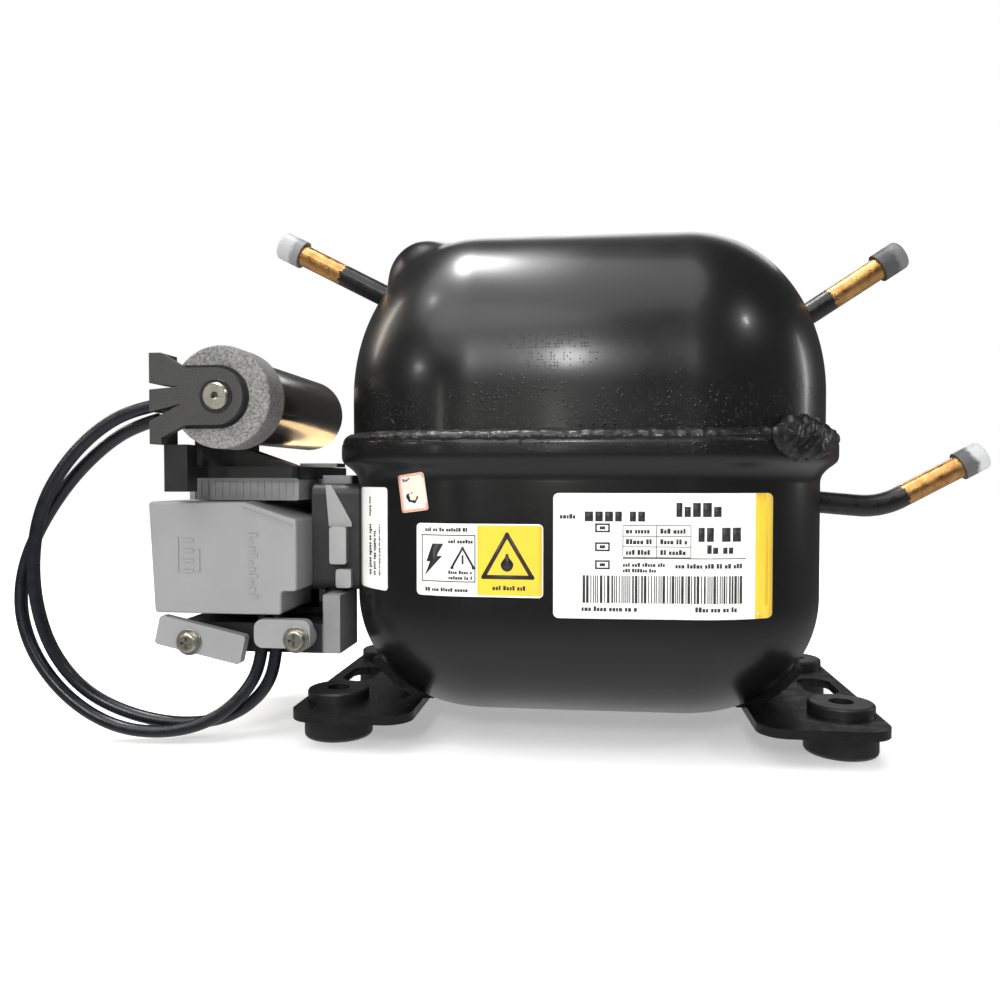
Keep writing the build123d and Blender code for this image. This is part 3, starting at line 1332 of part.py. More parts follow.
with BuildPart() as piston_yoke:
    with BuildSketch(Plane.XZ.offset(-YOKE_LENGTH / 2)):
        with Locations((YOKE_X, CYLINDER_Z)):
            Circle(YOKE_R)
    extrude(amount=YOKE_LENGTH)
    with BuildSketch(cylinder_plane.offset(YOKE_X)):
        Circle(BORE_R - RUNNING)
    extrude(amount=PISTON_FACE_X - YOKE_X)
    with BuildSketch(cylinder_plane.offset(YOKE_X + YOKE_R + PISTON_WALL)):
        Circle(BORE_R - PISTON_WALL)
    extrude(amount=PISTON_FACE_X - YOKE_X - YOKE_R - PISTON_WALL - PISTON_ROOF, mode=Mode.SUBTRACT)
    with BuildSketch(cylinder_plane.offset(YOKE_X)):
        Circle(WEB_HOLE_R)
    extrude(amount=YOKE_R + PISTON_WALL + 1, mode=Mode.SUBTRACT)
    with BuildSketch(Plane.XZ.offset(-YOKE_LENGTH / 2)):
        with Locations((YOKE_X, CYLINDER_Z)):
            Circle(YOKE_BORE_R)
    extrude(amount=YOKE_LENGTH, mode=Mode.SUBTRACT)
    with BuildSketch(Plane.XY.offset(CYLINDER_Z - BORE_R - 1)):
        with Locations((YOKE_X, 0)):
            SlotOverall(YOKE_SLOT_LENGTH, 2 * (PIN_CRANK_R + YOKE_SLOT_GAP), rotation=90)
    extrude(amount=BORE_R + 1, mode=Mode.SUBTRACT)
save(piston_yoke.part, "piston_yoke")

PLUG_SIZE = 25.0
PLUG_CORNER = 3.0
PLUG_T = 9.0
PLUG_OFFSET = CUP_T + 2.0

with BuildPart() as internal_plug:
    with BuildSketch(TERMINAL_PLANE.offset(PLUG_OFFSET)):
        RectangleRounded(PLUG_SIZE, PLUG_SIZE, PLUG_CORNER)
        with pin_spots:
            Circle(PIN_R, mode=Mode.SUBTRACT)
    extrude(amount=PLUG_T)
save(internal_plug.part, "internal_plug")
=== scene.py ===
import json
import random
from math import asin, copysign, cos, hypot, pi, radians, sin, sqrt

import bpy
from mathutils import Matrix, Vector, noise


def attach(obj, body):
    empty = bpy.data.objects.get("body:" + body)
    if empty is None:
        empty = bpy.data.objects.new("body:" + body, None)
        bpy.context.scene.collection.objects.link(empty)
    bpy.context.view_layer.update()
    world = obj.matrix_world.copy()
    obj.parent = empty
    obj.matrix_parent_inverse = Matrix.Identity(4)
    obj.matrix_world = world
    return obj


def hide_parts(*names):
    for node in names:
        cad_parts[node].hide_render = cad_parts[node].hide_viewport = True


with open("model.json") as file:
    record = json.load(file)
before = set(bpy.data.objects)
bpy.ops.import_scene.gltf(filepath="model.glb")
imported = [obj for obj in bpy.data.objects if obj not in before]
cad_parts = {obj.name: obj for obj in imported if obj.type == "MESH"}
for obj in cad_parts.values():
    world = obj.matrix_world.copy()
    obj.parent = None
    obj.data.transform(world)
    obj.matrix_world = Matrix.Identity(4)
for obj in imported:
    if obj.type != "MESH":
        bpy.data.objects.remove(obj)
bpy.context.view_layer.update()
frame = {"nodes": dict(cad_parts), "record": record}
MM = 0.001
NODES = frame["nodes"]
SCENE = bpy.context.scene


# ---------------------------------------------------------------- camera

camera = bpy.data.objects.new("camera", bpy.data.cameras.new("camera"))
camera.location = Vector((5.9, -325.6, 90.1)) * MM
camera.rotation_euler = (radians(88.51), 0, radians(6.64))
camera.data.sensor_width = 36
camera.data.lens = 30.79
camera.data.clip_start = 0.01
SCENE.collection.objects.link(camera)
SCENE.camera = camera
SCENE.view_settings.view_transform = "Standard"


# ---------------------------------------------------------------- mesh helpers

def new_piece(name, vertices, faces, material, body="housing", slot=None, smooth=True):
    """A mesh piece from vertices in metres that rides on a body."""
    mesh = bpy.data.meshes.new(name)
    mesh.from_pydata([tuple(v) for v in vertices], [], faces)
    mesh.materials.append(material)
    mesh.polygons.foreach_set("use_smooth", [smooth] * len(mesh.polygons))
    mesh.update()
    piece = bpy.data.objects.new(name, mesh)
    bpy.context.scene.collection.objects.link(piece)
    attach(piece, body)
    return piece


def apply_modifiers(piece):
    """Bakes the modifiers into the mesh."""
    graph = bpy.context.evaluated_depsgraph_get()
    mesh = bpy.data.meshes.new_from_object(piece.evaluated_get(graph))
    piece.modifiers.clear()
    piece.data = mesh


def circle(sides):
    """Cosine and sine for each corner of a regular polygon."""
    turns = [2 * pi * k / sides for k in range(sides)]
    return [(cos(turn), sin(turn)) for turn in turns]


class Form:
    """Collects vertices and faces of one mesh. Numbers are in millimetres."""

    def __init__(self):
        self.vertices = []
        self.faces = []

    def grid(self, points, close_u=False, flip=False):
        """Quads over rows of points, closed along each row if close_u. Returns the first vertex's number."""
        first = len(self.vertices)
        rows, columns = len(points), len(points[0])
        for row in points:
            self.vertices.extend(row)
        span = columns if close_u else columns - 1
        for i in range(rows - 1):
            for j in range(span):
                a = first + i * columns + j
                b = first + i * columns + (j + 1) % columns
                quad = (a, b, b + columns, a + columns)
                self.faces.append(quad[::-1] if flip else quad)
        return first

    def fan(self, ring_start, count, tip, flip=False):
        """Closes a ring of vertices onto one point."""
        centre = len(self.vertices)
        self.vertices.append(tip)
        for j in range(count):
            face = (ring_start + j, ring_start + (j + 1) % count, centre)
            self.faces.append(face[::-1] if flip else face)

    def piece(self, name, material, **options):
        return new_piece(name, [Vector(v) * MM for v in self.vertices], self.faces, material, **options)


# ---------------------------------------------------------------- shell outline

# Every level of the shell is a core rectangle's outline moved out by a reach.
UPPER_CORE = (34.0, 18.5)
LOWER_CORE = (32.5, 18.0)
RIM_CORE = (34.0, 17.5)
CORNER = 48.0
WALL = 3.0
FRONT_CROWN = 1.0


def outline_columns(spacing, reach=CORNER):
    """Columns round the outline: place along the core rectangle, -1 to 1, and outward direction."""
    columns = []
    arc_steps = max(4, round(pi / 2 * reach / spacing))
    long_steps = max(2, round(2 * UPPER_CORE[0] / spacing))
    short_steps = max(2, round(2 * UPPER_CORE[1] / spacing))
    sides = [((-1, -1), (1, -1), long_steps), ((1, -1), (1, 1), short_steps),
             ((1, 1), (-1, 1), long_steps), ((-1, 1), (-1, -1), short_steps)]
    for turn, (start, end, steps) in enumerate(sides):
        facing = radians(90 * turn - 90)
        for i in range(steps):
            t = i / steps
            columns.append((start[0] + (end[0] - start[0]) * t, start[1] + (end[1] - start[1]) * t,
                            cos(facing), sin(facing)))
        for i in range(arc_steps):
            angle = facing + pi / 2 * i / arc_steps
            columns.append((*end, cos(angle), sin(angle)))
    return columns


def level(columns, core, reach, z, crown=FRONT_CROWN):
    """One ring of points of the shell."""
    ring = []
    for along_x, along_y, out_x, out_y in columns:
        out = reach + crown * (1 - along_x**2) ** 2
        ring.append(Vector((along_x * core[0] + out_x * out, along_y * core[1] + out_y * out, z)))
    return ring


def shrunk(ring, share, rise):
    """A ring drawn in towards its middle, for the nearly flat end of a cup."""
    return [Vector((p.x * share, p.y * share, p.z + rise * (1 - share**2))) for p in ring]


CAP_SHARES = (0.93, 0.85, 0.75, 0.63, 0.5, 0.36, 0.2, 0.08)


# ---------------------------------------------------------------- materials

class Look:
    """A material's node tree with short ways to add nodes. Sizes of textures are in millimetres."""

    def __init__(self, name, color, roughness, metallic=0.0, **sockets):
        self.material = bpy.data.materials.new(name)
        self.material.use_nodes = True
        self.tree = self.material.node_tree
        self.bsdf = self.tree.nodes["Principled BSDF"]
        self.set_socket("Base Color", color)
        self.set_socket("Roughness", roughness)
        self.set_socket("Metallic", metallic)
        for socket, value in sockets.items():
            self.set_socket(socket.replace("_", " "), value)
        self.place = self.add("ShaderNodeTexCoord").outputs["Object"]

    def set_socket(self, socket, value):
        """A number, a colour or another node's output goes to the surface shader."""
        if isinstance(value, bpy.types.NodeSocket):
            self.tree.links.new(value, self.bsdf.inputs[socket])
        elif isinstance(value, tuple):
            self.bsdf.inputs[socket].default_value = (*value, 1)
        else:
            self.bsdf.inputs[socket].default_value = value

    def finished(self, color, roughness, normal):
        """Sets what varies over the surface and returns the material."""
        self.set_socket("Base Color", color)
        self.set_socket("Roughness", roughness)
        self.set_socket("Normal", normal)
        return self.material

    def add(self, kind, inputs=None, **settings):
        node = self.tree.nodes.new(kind)
        for key, value in settings.items():
            setattr(node, key, value)
        for key, value in (inputs or {}).items():
            if isinstance(value, bpy.types.NodeSocket):
                self.tree.links.new(value, node.inputs[key])
            else:
                node.inputs[key].default_value = value
        return node

    def stretched(self, stretch):
        """Coordinates multiplied along each axis."""
        return self.add("ShaderNodeVectorMath", {0: self.place, 1: stretch}, operation="MULTIPLY").outputs[0]

    def along(self, start, direction):
        """Millimetres from a start point along a direction."""
        moved = self.add("ShaderNodeVectorMath", {0: self.place, 1: Vector(start) * MM}, operation="SUBTRACT")
        unit = Vector(direction).normalized() / MM
        measured = {0: moved.outputs[0], 1: unit}
        return self.add("ShaderNodeVectorMath", measured, operation="DOT_PRODUCT").outputs["Value"]

    def noise(self, size, detail=3.0, rough=0.55, at=None):
        """Noise whose features are about size millimetres across."""
        inputs = {"Vector": at or self.place, "Scale": 1 / (size * MM), "Detail": detail, "Roughness": rough}
        return self.add("ShaderNodeTexNoise", inputs).outputs["Fac"]

    def cells(self, size):
        inputs = {"Vector": self.place, "Scale": 1 / (size * MM)}
        return self.add("ShaderNodeTexVoronoi", inputs).outputs["Distance"]

    def remap(self, value, low, high, to_low=0.0, to_high=1.0):
        inputs = {"Value": value, "From Min": low, "From Max": high, "To Min": to_low, "To Max": to_high}
        return self.add("ShaderNodeMapRange", inputs).outputs["Result"]

    def spread(self, value, to_low=0.0, to_high=1.0):
        """Remaps a noise value from the range that it mostly keeps to."""
        return self.remap(value, 0.3, 0.7, to_low, to_high)

    def math(self, operation, a, b=0.0):
        return self.add("ShaderNodeMath", {0: a, 1: b}, operation=operation).outputs[0]

    def height(self):
        """Height above the floor plane, in millimetres."""
        return self.along((0, 0, 0), (0, 0, 1))

    def blend(self, factor, low, high):
        """Colour that goes from low to high with factor."""
        node = self.add("ShaderNodeMix", data_type="RGBA")
        for key, value in ((0, factor), (6, low), (7, high)):
            if isinstance(value, bpy.types.NodeSocket):
                self.tree.links.new(value, node.inputs[key])
            else:
                node.inputs[key].default_value = value if key == 0 else (*value, 1)
        return node.outputs[2]

    def bump(self, height, depth, before=None):
        """Normal bumped by a 0 to 1 height, depth in millimetres."""
        inputs = {"Height": height, "Distance": depth * MM, "Strength": 1.0}
        if before:
            inputs["Normal"] = before
        return self.add("ShaderNodeBump", inputs).outputs["Normal"]


def tinted(color, share):
    return tuple(min(1.0, c * share) for c in color)


def grained(name, color, roughness, metallic=0.0, mottle=0.1, drift=9.0, grain=0.5, depth=0.02, **sockets):
    """Moulded or painted surface: colour and gloss drift over it, and it has a fine grain."""
    look = Look(name, color, roughness, metallic, **sockets)
    wide = look.spread(look.noise(drift, 4))
    look.set_socket("Base Color", look.blend(wide, tinted(color, 1 - mottle), tinted(color, 1 + mottle)))
    gloss = look.noise(drift * 0.6, 3)
    look.set_socket("Roughness", look.spread(gloss, max(0.03, roughness - 0.07), roughness + 0.07))
    look.set_socket("Normal", look.bump(look.noise(grain, 2), depth))
    return look.material


def brushed(name, color, roughness, stretch=(1, 1, 12), mottle=0.15, depth=0.008, metallic=1.0, **sockets):
    """Machined metal with fine parallel marks; they run along the axis with the smallest stretch."""
    look = Look(name, color, roughness, metallic, **sockets)
    marks = look.noise(0.9, 5, 0.6, look.stretched(stretch))
    stain = look.remap(look.noise(7, 4), 0.35, 0.7)
    base = look.blend(stain, tinted(color, 1 + mottle), tinted(color, 1 - mottle))
    return look.finished(
        look.blend(look.spread(marks, 0, 0.35), base, tinted(color, 0.7)),
        look.spread(marks, max(0.05, roughness - 0.1), roughness + 0.1),
        look.bump(marks, depth),
    )


BLACK_ENAMEL = (0.0045, 0.0045, 0.005)


def enamel(name, speckle_from=None, speckle_to=None, rough=0.30, lumps=0.0):
    """Glossy black baked enamel with faint orange peel, and weld spatter and dust between two heights."""
    coat = {"Specular_IOR_Level": 0.40, "Coat_Weight": 0.22, "Coat_Roughness": 0.15}
    look = Look(name, BLACK_ENAMEL, rough, **coat)
    normal = look.bump(look.noise(3.2, 2), 0.010)
    gloss = look.spread(look.noise(26, 4), rough - 0.04, rough + 0.07)
    if speckle_from is not None:
        near = look.remap(look.height(), speckle_from, speckle_to)
        dots = look.math("MULTIPLY", look.remap(look.cells(1.6), 0.30, 0.12), near)
        patchy = look.math("MULTIPLY", dots, look.remap(look.noise(8, 3), 0.42, 0.62))
        dusty = look.math("MULTIPLY", near, look.remap(look.noise(0.8, 4), 0.55, 0.8))
        look.set_socket("Base Color", look.blend(look.math("MULTIPLY", dusty, 0.35),
                                                 BLACK_ENAMEL, (0.12, 0.12, 0.10)))
        normal = look.bump(patchy, 0.22, normal)
        gloss = look.math("ADD", gloss, look.math("MULTIPLY", dusty, 0.3))
    if lumps:
        normal = look.bump(look.noise(0.9, 5, 0.65), lumps, normal)
    look.set_socket("Roughness", gloss)
    look.set_socket("Normal", normal)
    return look.material


def copper_stub(name, root, direction, painted):
    """Bright copper tube whose first stretch from the shell is painted black, with a ragged edge."""
    look = Look(name, (0.62, 0.33, 0.13), 0.3)
    distance = look.along(root, direction)
    ragged = look.math("ADD", distance, look.spread(look.noise(1.5, 4), -1.1, 1.1))
    bare = look.remap(ragged, painted - 0.25, painted + 0.25)
    stain = look.remap(look.noise(3.5, 5), 0.35, 0.68)
    copper = look.blend(stain, (0.68, 0.38, 0.14), (0.40, 0.19, 0.06))
    dark_mark = look.remap(look.noise(1.2, 5), 0.62, 0.74, 0, 0.7)
    copper = look.blend(dark_mark, copper, (0.10, 0.045, 0.02))
    look.set_socket("Base Color", look.blend(bare, (0.006, 0.006, 0.006), copper))
    look.set_socket("Metallic", look.math("MULTIPLY", bare, 0.95))
    look.set_socket("Roughness", look.spread(look.noise(2.5, 4), 0.2, 0.42))
    normal = look.bump(look.noise(1.2, 4), 0.03)
    look.set_socket("Normal", look.bump(bare, -0.08, normal))
    return look.material


def shrink_sleeve():
    """Glossy black capacitor sleeve with a faint warm tint and long draw marks."""
    look = Look("capacitor_sleeve", (0.010, 0.009, 0.006), 0.12, Coat_Weight=0.5, Coat_Roughness=0.08)
    marks = look.noise(2.4, 4, 0.6, look.stretched((1, 0.08, 1)))
    return look.finished(
        look.blend(marks, (0.012, 0.010, 0.005), (0.022, 0.019, 0.009)),
        look.spread(marks, 0.08, 0.2),
        look.bump(marks, 0.03),
    )


def laminations(name, color):
    """Edge of a stack of punched steel sheets."""
    look = Look(name, color, 0.4, 0.9)
    stack = {"Vector": look.place, "Scale": 1 / (3.2 * MM), "Distortion": 0.3, "Detail": 1.0}
    sheets = look.add("ShaderNodeTexWave", stack, bands_direction="Z").outputs["Fac"]
    rust = look.remap(look.noise(6, 5), 0.5, 0.75)
    steel = look.blend(sheets, tinted(color, 0.6), color)
    return look.finished(
        look.blend(rust, steel, (0.16, 0.10, 0.07)),
        look.remap(rust, 0, 1, 0.35, 0.6),
        look.bump(sheets, 0.05),
    )


def wound_wire(name):
    """Laced bundles of enamelled copper wire."""
    look = Look(name, (0.45, 0.15, 0.05), 0.3, 0.7, Coat_Weight=0.4)
    strands = look.noise(1.1, 3, 0.5, look.stretched((1, 1, 3)))
    lacing = look.remap(look.noise(5, 2), 0.58, 0.62)
    wire = look.blend(strands, (0.24, 0.07, 0.02), (0.62, 0.26, 0.09))
    return look.finished(
        look.blend(lacing, wire, (0.75, 0.68, 0.55)),
        look.remap(lacing, 0, 1, 0.28, 0.7),
        look.bump(strands, 0.3),
    )


def cast_surface(name, color):
    """Sand-cast grey iron with an oil film."""
    look = Look(name, color, 0.5, 0.85)
    pits = look.noise(0.8, 5, 0.65)
    stain = look.remap(look.noise(10, 4), 0.4, 0.7)
    return look.finished(
        look.blend(stain, color, tinted(color, 0.6)),
        look.remap(stain, 0, 1, 0.6, 0.35),
        look.bump(pits, 0.12),
    )


def gritty(name, dark, unshaded_grey, roughness, grain=0.7, depth=0.10):
    """Coarse mineral-filled moulding with light and dark specks."""
    look = Look(name, dark, roughness)
    specks = look.noise(grain, 4, 0.7)
    wide = look.spread(look.noise(7, 3), -0.08, 0.08)
    tone = look.math("ADD", look.remap(specks, 0.36, 0.64), wide)
    return look.finished(
        look.blend(tone, dark, unshaded_grey),
        look.spread(specks, roughness - 0.08, roughness + 0.1),
        look.bump(specks, depth),
    )


def printed(name, color, roughness=0.32):
    """Printed film: slightly uneven ink, with a thin gloss."""
    look = Look(name, color, roughness, Coat_Weight=0.15, Coat_Roughness=0.15)
    uneven = look.spread(look.noise(12, 4))
    return look.finished(
        look.blend(uneven, tinted(color, 0.94), tinted(color, 1.03)),
        look.spread(look.noise(5, 3), roughness - 0.06, roughness + 0.08),
        look.bump(look.noise(9, 2), 0.02),
    )


def terminal_bead():
    """Fused glass round the terminal pins."""
    look = Look("terminal_glass", (0.05, 0.09, 0.06), 0.08, Transmission_Weight=0.35, IOR=1.5)
    swirl = look.noise(1.5, 3)
    look.set_socket("Base Color", look.blend(swirl, (0.03, 0.06, 0.04), (0.09, 0.16, 0.11)))
    look.set_socket("Roughness", look.spread(swirl, 0.04, 0.16))
    return look.material


def tray_plastic():
    """Light grey above and on the lug; near black on the ledge behind the clamp bars, which is painted shade.
    """
    look = Look("base_plastic", BASE_GREY, 0.45)
    # Mask: 1 where the tray shows its grey, 0 on the ledge behind the clamp bars, where painted shade goes.
    unshaded_grey = look.math("MAXIMUM", look.remap(look.height(), 44, 45),
                      look.remap(look.along((-88.5, 0, 0), (1, 0, 0)), 0, 1))
    grey = look.blend(look.spread(look.noise(16, 3)), tinted(BASE_GREY, 0.9), tinted(BASE_GREY, 1.1))
    return look.finished(
        # Painted shade: the near-black colour stands in for the shade behind the clamp bars.
        look.blend(unshaded_grey, (0.012, 0.012, 0.012), grey),
        look.spread(look.noise(9, 3), 0.38, 0.52),
        look.bump(look.noise(0.4, 2), 0.02),
    )


def stub_cap(name, mouth, direction, collar, collar_color, tip_color):
    """Milky rubber cap: a darker collar, and a paler end past the collar's length."""
    look = Look(name, collar_color, 0.45, Specular_IOR_Level=0.4)
    distance = look.along(mouth, direction)
    uneven = look.math("ADD", distance, look.spread(look.noise(3, 3), -1.0, 1.0))
    tip = look.remap(uneven, collar - 0.8, collar + 0.8)
    return look.finished(
        look.blend(tip, collar_color, tip_color),
        look.spread(look.noise(2, 3), 0.36, 0.55),
        look.bump(look.noise(0.7, 3), 0.05),
    )


COVER_GREY = (0.25, 0.25, 0.255)
BASE_GREY = (0.22, 0.22, 0.225)

MATERIALS = {}


def finish(make, name, *values, **options):
    """Makes a slot's material with one of the functions above."""
    MATERIALS[name] = make(name, *values, **options)


finish(enamel, "shell_paint")
finish(enamel, "weld_paint", rough=0.38, lumps=0.14)
finish(grained, "plate_paint", (0.007, 0.007, 0.007), 0.24, mottle=0.3, grain=1.2, depth=0.03)
finish(grained, "grommet_rubber", (0.011, 0.011, 0.012), 0.42, mottle=0.25, grain=0.35, depth=0.02)
finish(brushed, "stub_copper", (0.6, 0.32, 0.12), 0.3)
finish(enamel, "braze_filler", rough=0.28, lumps=0.15)
finish(grained, "cap_rubber", (0.035, 0.035, 0.034), 0.6, mottle=0.3, drift=3, grain=0.5, depth=0.05)
finish(printed, "label_white", (0.80, 0.80, 0.78))
finish(printed, "label_yellow", (0.80, 0.80, 0.78))
finish(printed, "sticker_paper", (0.74, 0.60, 0.50), 0.5)
finish(brushed, "plated_steel", (0.55, 0.54, 0.50), 0.32)
MATERIALS["terminal_glass"] = terminal_bead()
finish(grained, "cover_plastic", COVER_GREY, 0.40, mottle=0.05, drift=22, grain=0.3, depth=0.02)
MATERIALS["base_plastic"] = tray_plastic()
finish(grained, "fence_metal", (0.03, 0.03, 0.031), 0.45, mottle=0.2, grain=0.8)
finish(grained, "clip_plastic", (0.33, 0.33, 0.33), 0.4, mottle=0.08, grain=0.4)
finish(grained, "starter_plastic", (0.014, 0.014, 0.014), 0.45, mottle=0.2, grain=0.4)
finish(brushed, "screw_zinc", (0.50, 0.49, 0.42), 0.34, stretch=(5, 1, 1), mottle=0.25)
MATERIALS["capacitor_sleeve"] = shrink_sleeve()
finish(gritty, "capacitor_resin", (0.075, 0.073, 0.070), (0.27, 0.27, 0.26), 0.6)
finish(gritty, "clip_grey", (0.022, 0.021, 0.021), (0.050, 0.049, 0.048), 0.5, grain=0.5, depth=0.05)
finish(grained, "bracket_black", (0.010, 0.010, 0.011), 0.38, mottle=0.25, grain=0.7, depth=0.03)
finish(grained, "lead_pvc", (0.006, 0.0065, 0.009), 0.3, mottle=0.3, drift=5, grain=0.8, depth=0.02)
finish(cast_surface, "cast_iron", (0.20, 0.20, 0.21))
finish(laminations, "core_steel", (0.36, 0.36, 0.37))
finish(wound_wire, "winding_copper")
finish(grained, "gasket_fibre", (0.09, 0.10, 0.075), 0.8, mottle=0.2, drift=3, grain=0.4, depth=0.05)
finish(brushed, "spring_steel", (0.30, 0.31, 0.34), 0.28, stretch=(1, 1, 1))
finish(cast_surface, "head_aluminium", (0.52, 0.52, 0.54))
finish(grained, "muffler_plastic", (0.62, 0.58, 0.48), 0.42, mottle=0.06, drift=14, grain=0.4)
finish(grained, "seat_nylon", (0.66, 0.62, 0.53), 0.4, mottle=0.06, drift=8, grain=0.4)
finish(cast_surface, "cage_aluminium", (0.58, 0.58, 0.60))
finish(brushed, "plug_brass", (0.62, 0.44, 0.16), 0.25)
finish(brushed, "ground_steel", (0.42, 0.42, 0.44), 0.25, stretch=(1, 8, 1))
UPPER_ENAMEL = enamel("upper_enamel", 124, 103)

DISCHARGE_WAY = (-0.89, 0, 0.457)
PROCESS_WAY = (0.838, 0, 0.546)
SUCTION_WAY = (0.877, 0, 0.48)
NODE_MATERIALS = {
    "discharge_tube": copper_stub("discharge_copper", (-63.7, -8, 152.95), DISCHARGE_WAY, 30.5),
    "process_tube": copper_stub("process_copper", (71, -4, 143), PROCESS_WAY, 21.0),
    "suction_tube": copper_stub("suction_copper", (113, 0, 82.3), SUCTION_WAY, 3.5),
    "discharge_tube_cap": stub_cap(
        "discharge_cap_rubber", (-112.1, -8, 177.8), DISCHARGE_WAY, -3.0, (0.2, 0.2, 0.2), (0.4, 0.4, 0.41)
    ),
    "process_tube_cap": stub_cap(
        "process_cap_rubber", (110, -4, 168.4), PROCESS_WAY, -1.0, (0.055, 0.055, 0.055), (0.13, 0.13, 0.13)
    ),
    "suction_tube_cap": stub_cap(
        "suction_cap_rubber", (140.2, 0, 97.2), SUCTION_WAY, -2.0, (0.09, 0.09, 0.09), (0.46, 0.47, 0.47)
    ),
}

NODE_SLOT = {row["node"]: row["material_slot"] for row in frame["record"]["subparts"]}
for node_name, node in NODES.items():
    node.data.materials.clear()
    node.data.materials.append(NODE_MATERIALS.get(node_name) or MATERIALS[NODE_SLOT[node_name]])


# ---------------------------------------------------------------- stage

TARGET = Vector((0, 0, 0.1))


def softbox(name, direction, distance, width, height, power, color=(1, 1, 1)):
    """Oval light that faces the object from a direction."""
    data = bpy.data.lights.new(name, "AREA")
    data.shape = "ELLIPSE"
    data.size = width
    data.size_y = height
    data.energy = power
    data.color = color
    unshaded_grey = bpy.data.objects.new(name, data)
    unshaded_grey.location = TARGET + Vector(direction).normalized() * distance
    unshaded_grey.rotation_euler = (TARGET - unshaded_grey.location).to_track_quat("-Z", "Y").to_euler()
    SCENE.collection.objects.link(unshaded_grey)
    return unshaded_grey


softbox("overhead", (-0.24, 0.02, 0.95), 0.9, 0.36, 0.20, 5.5)
softbox("key", (-0.06, -0.92, 0.38), 1.3, 0.13, 0.24, 4.5)
softbox("fill", (-0.35, -0.85, 0.75), 1.6, 1.3, 0.9, 4.0)
softbox("right_lamp", (0.66, -0.45, 0.60), 1.2, 0.05, 0.05, 1.2)
softbox("left_strip", (-0.75, -0.60, 0.28), 1.1, 0.16, 0.05, 0.7)
softbox("left_rim", (-0.80, 0.20, 0.45), 1.2, 0.12, 0.5, 2.0, (1.0, 0.93, 0.82))
softbox("right_rim", (0.95, 0.25, 0.20), 1.2, 0.08, 0.5, 1.2)
softbox("behind", (0.1, 0.9, 0.6), 1.5, 1.2, 0.6, 4.0)
softbox("low_left", (-0.53, -0.84, 0.06), 1.5, 0.10, 0.16, 0.35, (1.0, 1.0, 0.85))
softbox("low_front", (-0.10, -0.99, 0.05), 1.5, 0.10, 0.16, 0.35, (1.0, 1.0, 0.88))
softbox("pocket_glint", (-0.62, -0.30, 0.85), 1.3, 0.10, 0.10, 0.9)
# The warm glint under the capacitor can lights nothing else.
can_glint = softbox("can_glint", (-0.075, 0.30, -0.085), 0.32, 0.30, 0.03, 0.10, (1.0, 0.66, 0.30))
lit_by_glint = bpy.data.collections.new("lit_by_glint")
lit_by_glint.objects.link(NODES["capacitor_can"])
can_glint.light_linking.receiver_collection = lit_by_glint

SURROUND = 0.42
REFLECTED = 0.08
REFLECTED_FLOOR = 0.75
world = bpy.data.worlds.new("studio")
SCENE.world = world
world.use_nodes = True
sky = world.node_tree
background = sky.nodes["Background"]
rays = sky.nodes.new("ShaderNodeLightPath")
way = sky.nodes.new("ShaderNodeTexCoord").outputs["Generated"]
way_parts = sky.nodes.new("ShaderNodeSeparateXYZ")
sky.links.new(way, way_parts.inputs[0])
from_floor = sky.nodes.new("ShaderNodeMapRange")
downward = {"From Min": -0.12, "From Max": -0.75, "To Min": REFLECTED, "To Max": REFLECTED_FLOOR}
for socket, value in downward.items():
    from_floor.inputs[socket].default_value = value
sky.links.new(way_parts.outputs["Z"], from_floor.inputs["Value"])
strength = None
for ray, high in (("Is Glossy Ray", from_floor.outputs["Result"]), ("Is Camera Ray", 1.0)):
    chosen = sky.nodes.new("ShaderNodeMapRange")
    if isinstance(high, float):
        chosen.inputs["To Max"].default_value = high
    else:
        sky.links.new(high, chosen.inputs["To Max"])
    if strength:
        sky.links.new(strength, chosen.inputs["To Min"])
    else:
        chosen.inputs["To Min"].default_value = SURROUND
    sky.links.new(rays.outputs[ray], chosen.inputs["Value"])
    strength = chosen.outputs["Result"]
sky.links.new(strength, background.inputs["Strength"])
background.inputs["Color"].default_value = (1, 1, 1, 1)

FLOOR_HALF = 60.0
floor_mesh = bpy.data.meshes.new("floor")
floor_corners = [(-FLOOR_HALF, -FLOOR_HALF, 0), (FLOOR_HALF, -FLOOR_HALF, 0),
                 (FLOOR_HALF, FLOOR_HALF, 0), (-FLOOR_HALF, FLOOR_HALF, 0)]
floor_mesh.from_pydata(floor_corners, [], [(0, 1, 2, 3)])
floor = bpy.data.objects.new("floor", floor_mesh)
SCENE.collection.objects.link(floor)
FLOOR_WHITE = (0.84, 0.84, 0.84)
floor_paint = Look("floor_paint", FLOOR_WHITE, 0.7, Emission_Color=FLOOR_WHITE, Emission_Strength=0.44)
floor_mesh.materials.append(floor_paint.material)
floor.visible_glossy = False

sun = bpy.data.objects.new("even_light", bpy.data.lights.new("even_light", "SUN"))
sun.data.energy = 1.5
sun.data.angle = radians(60)
sun.rotation_euler = (radians(18), radians(-16), 0)
SCENE.collection.objects.link(sun)


# ---------------------------------------------------------------- capacitor leads

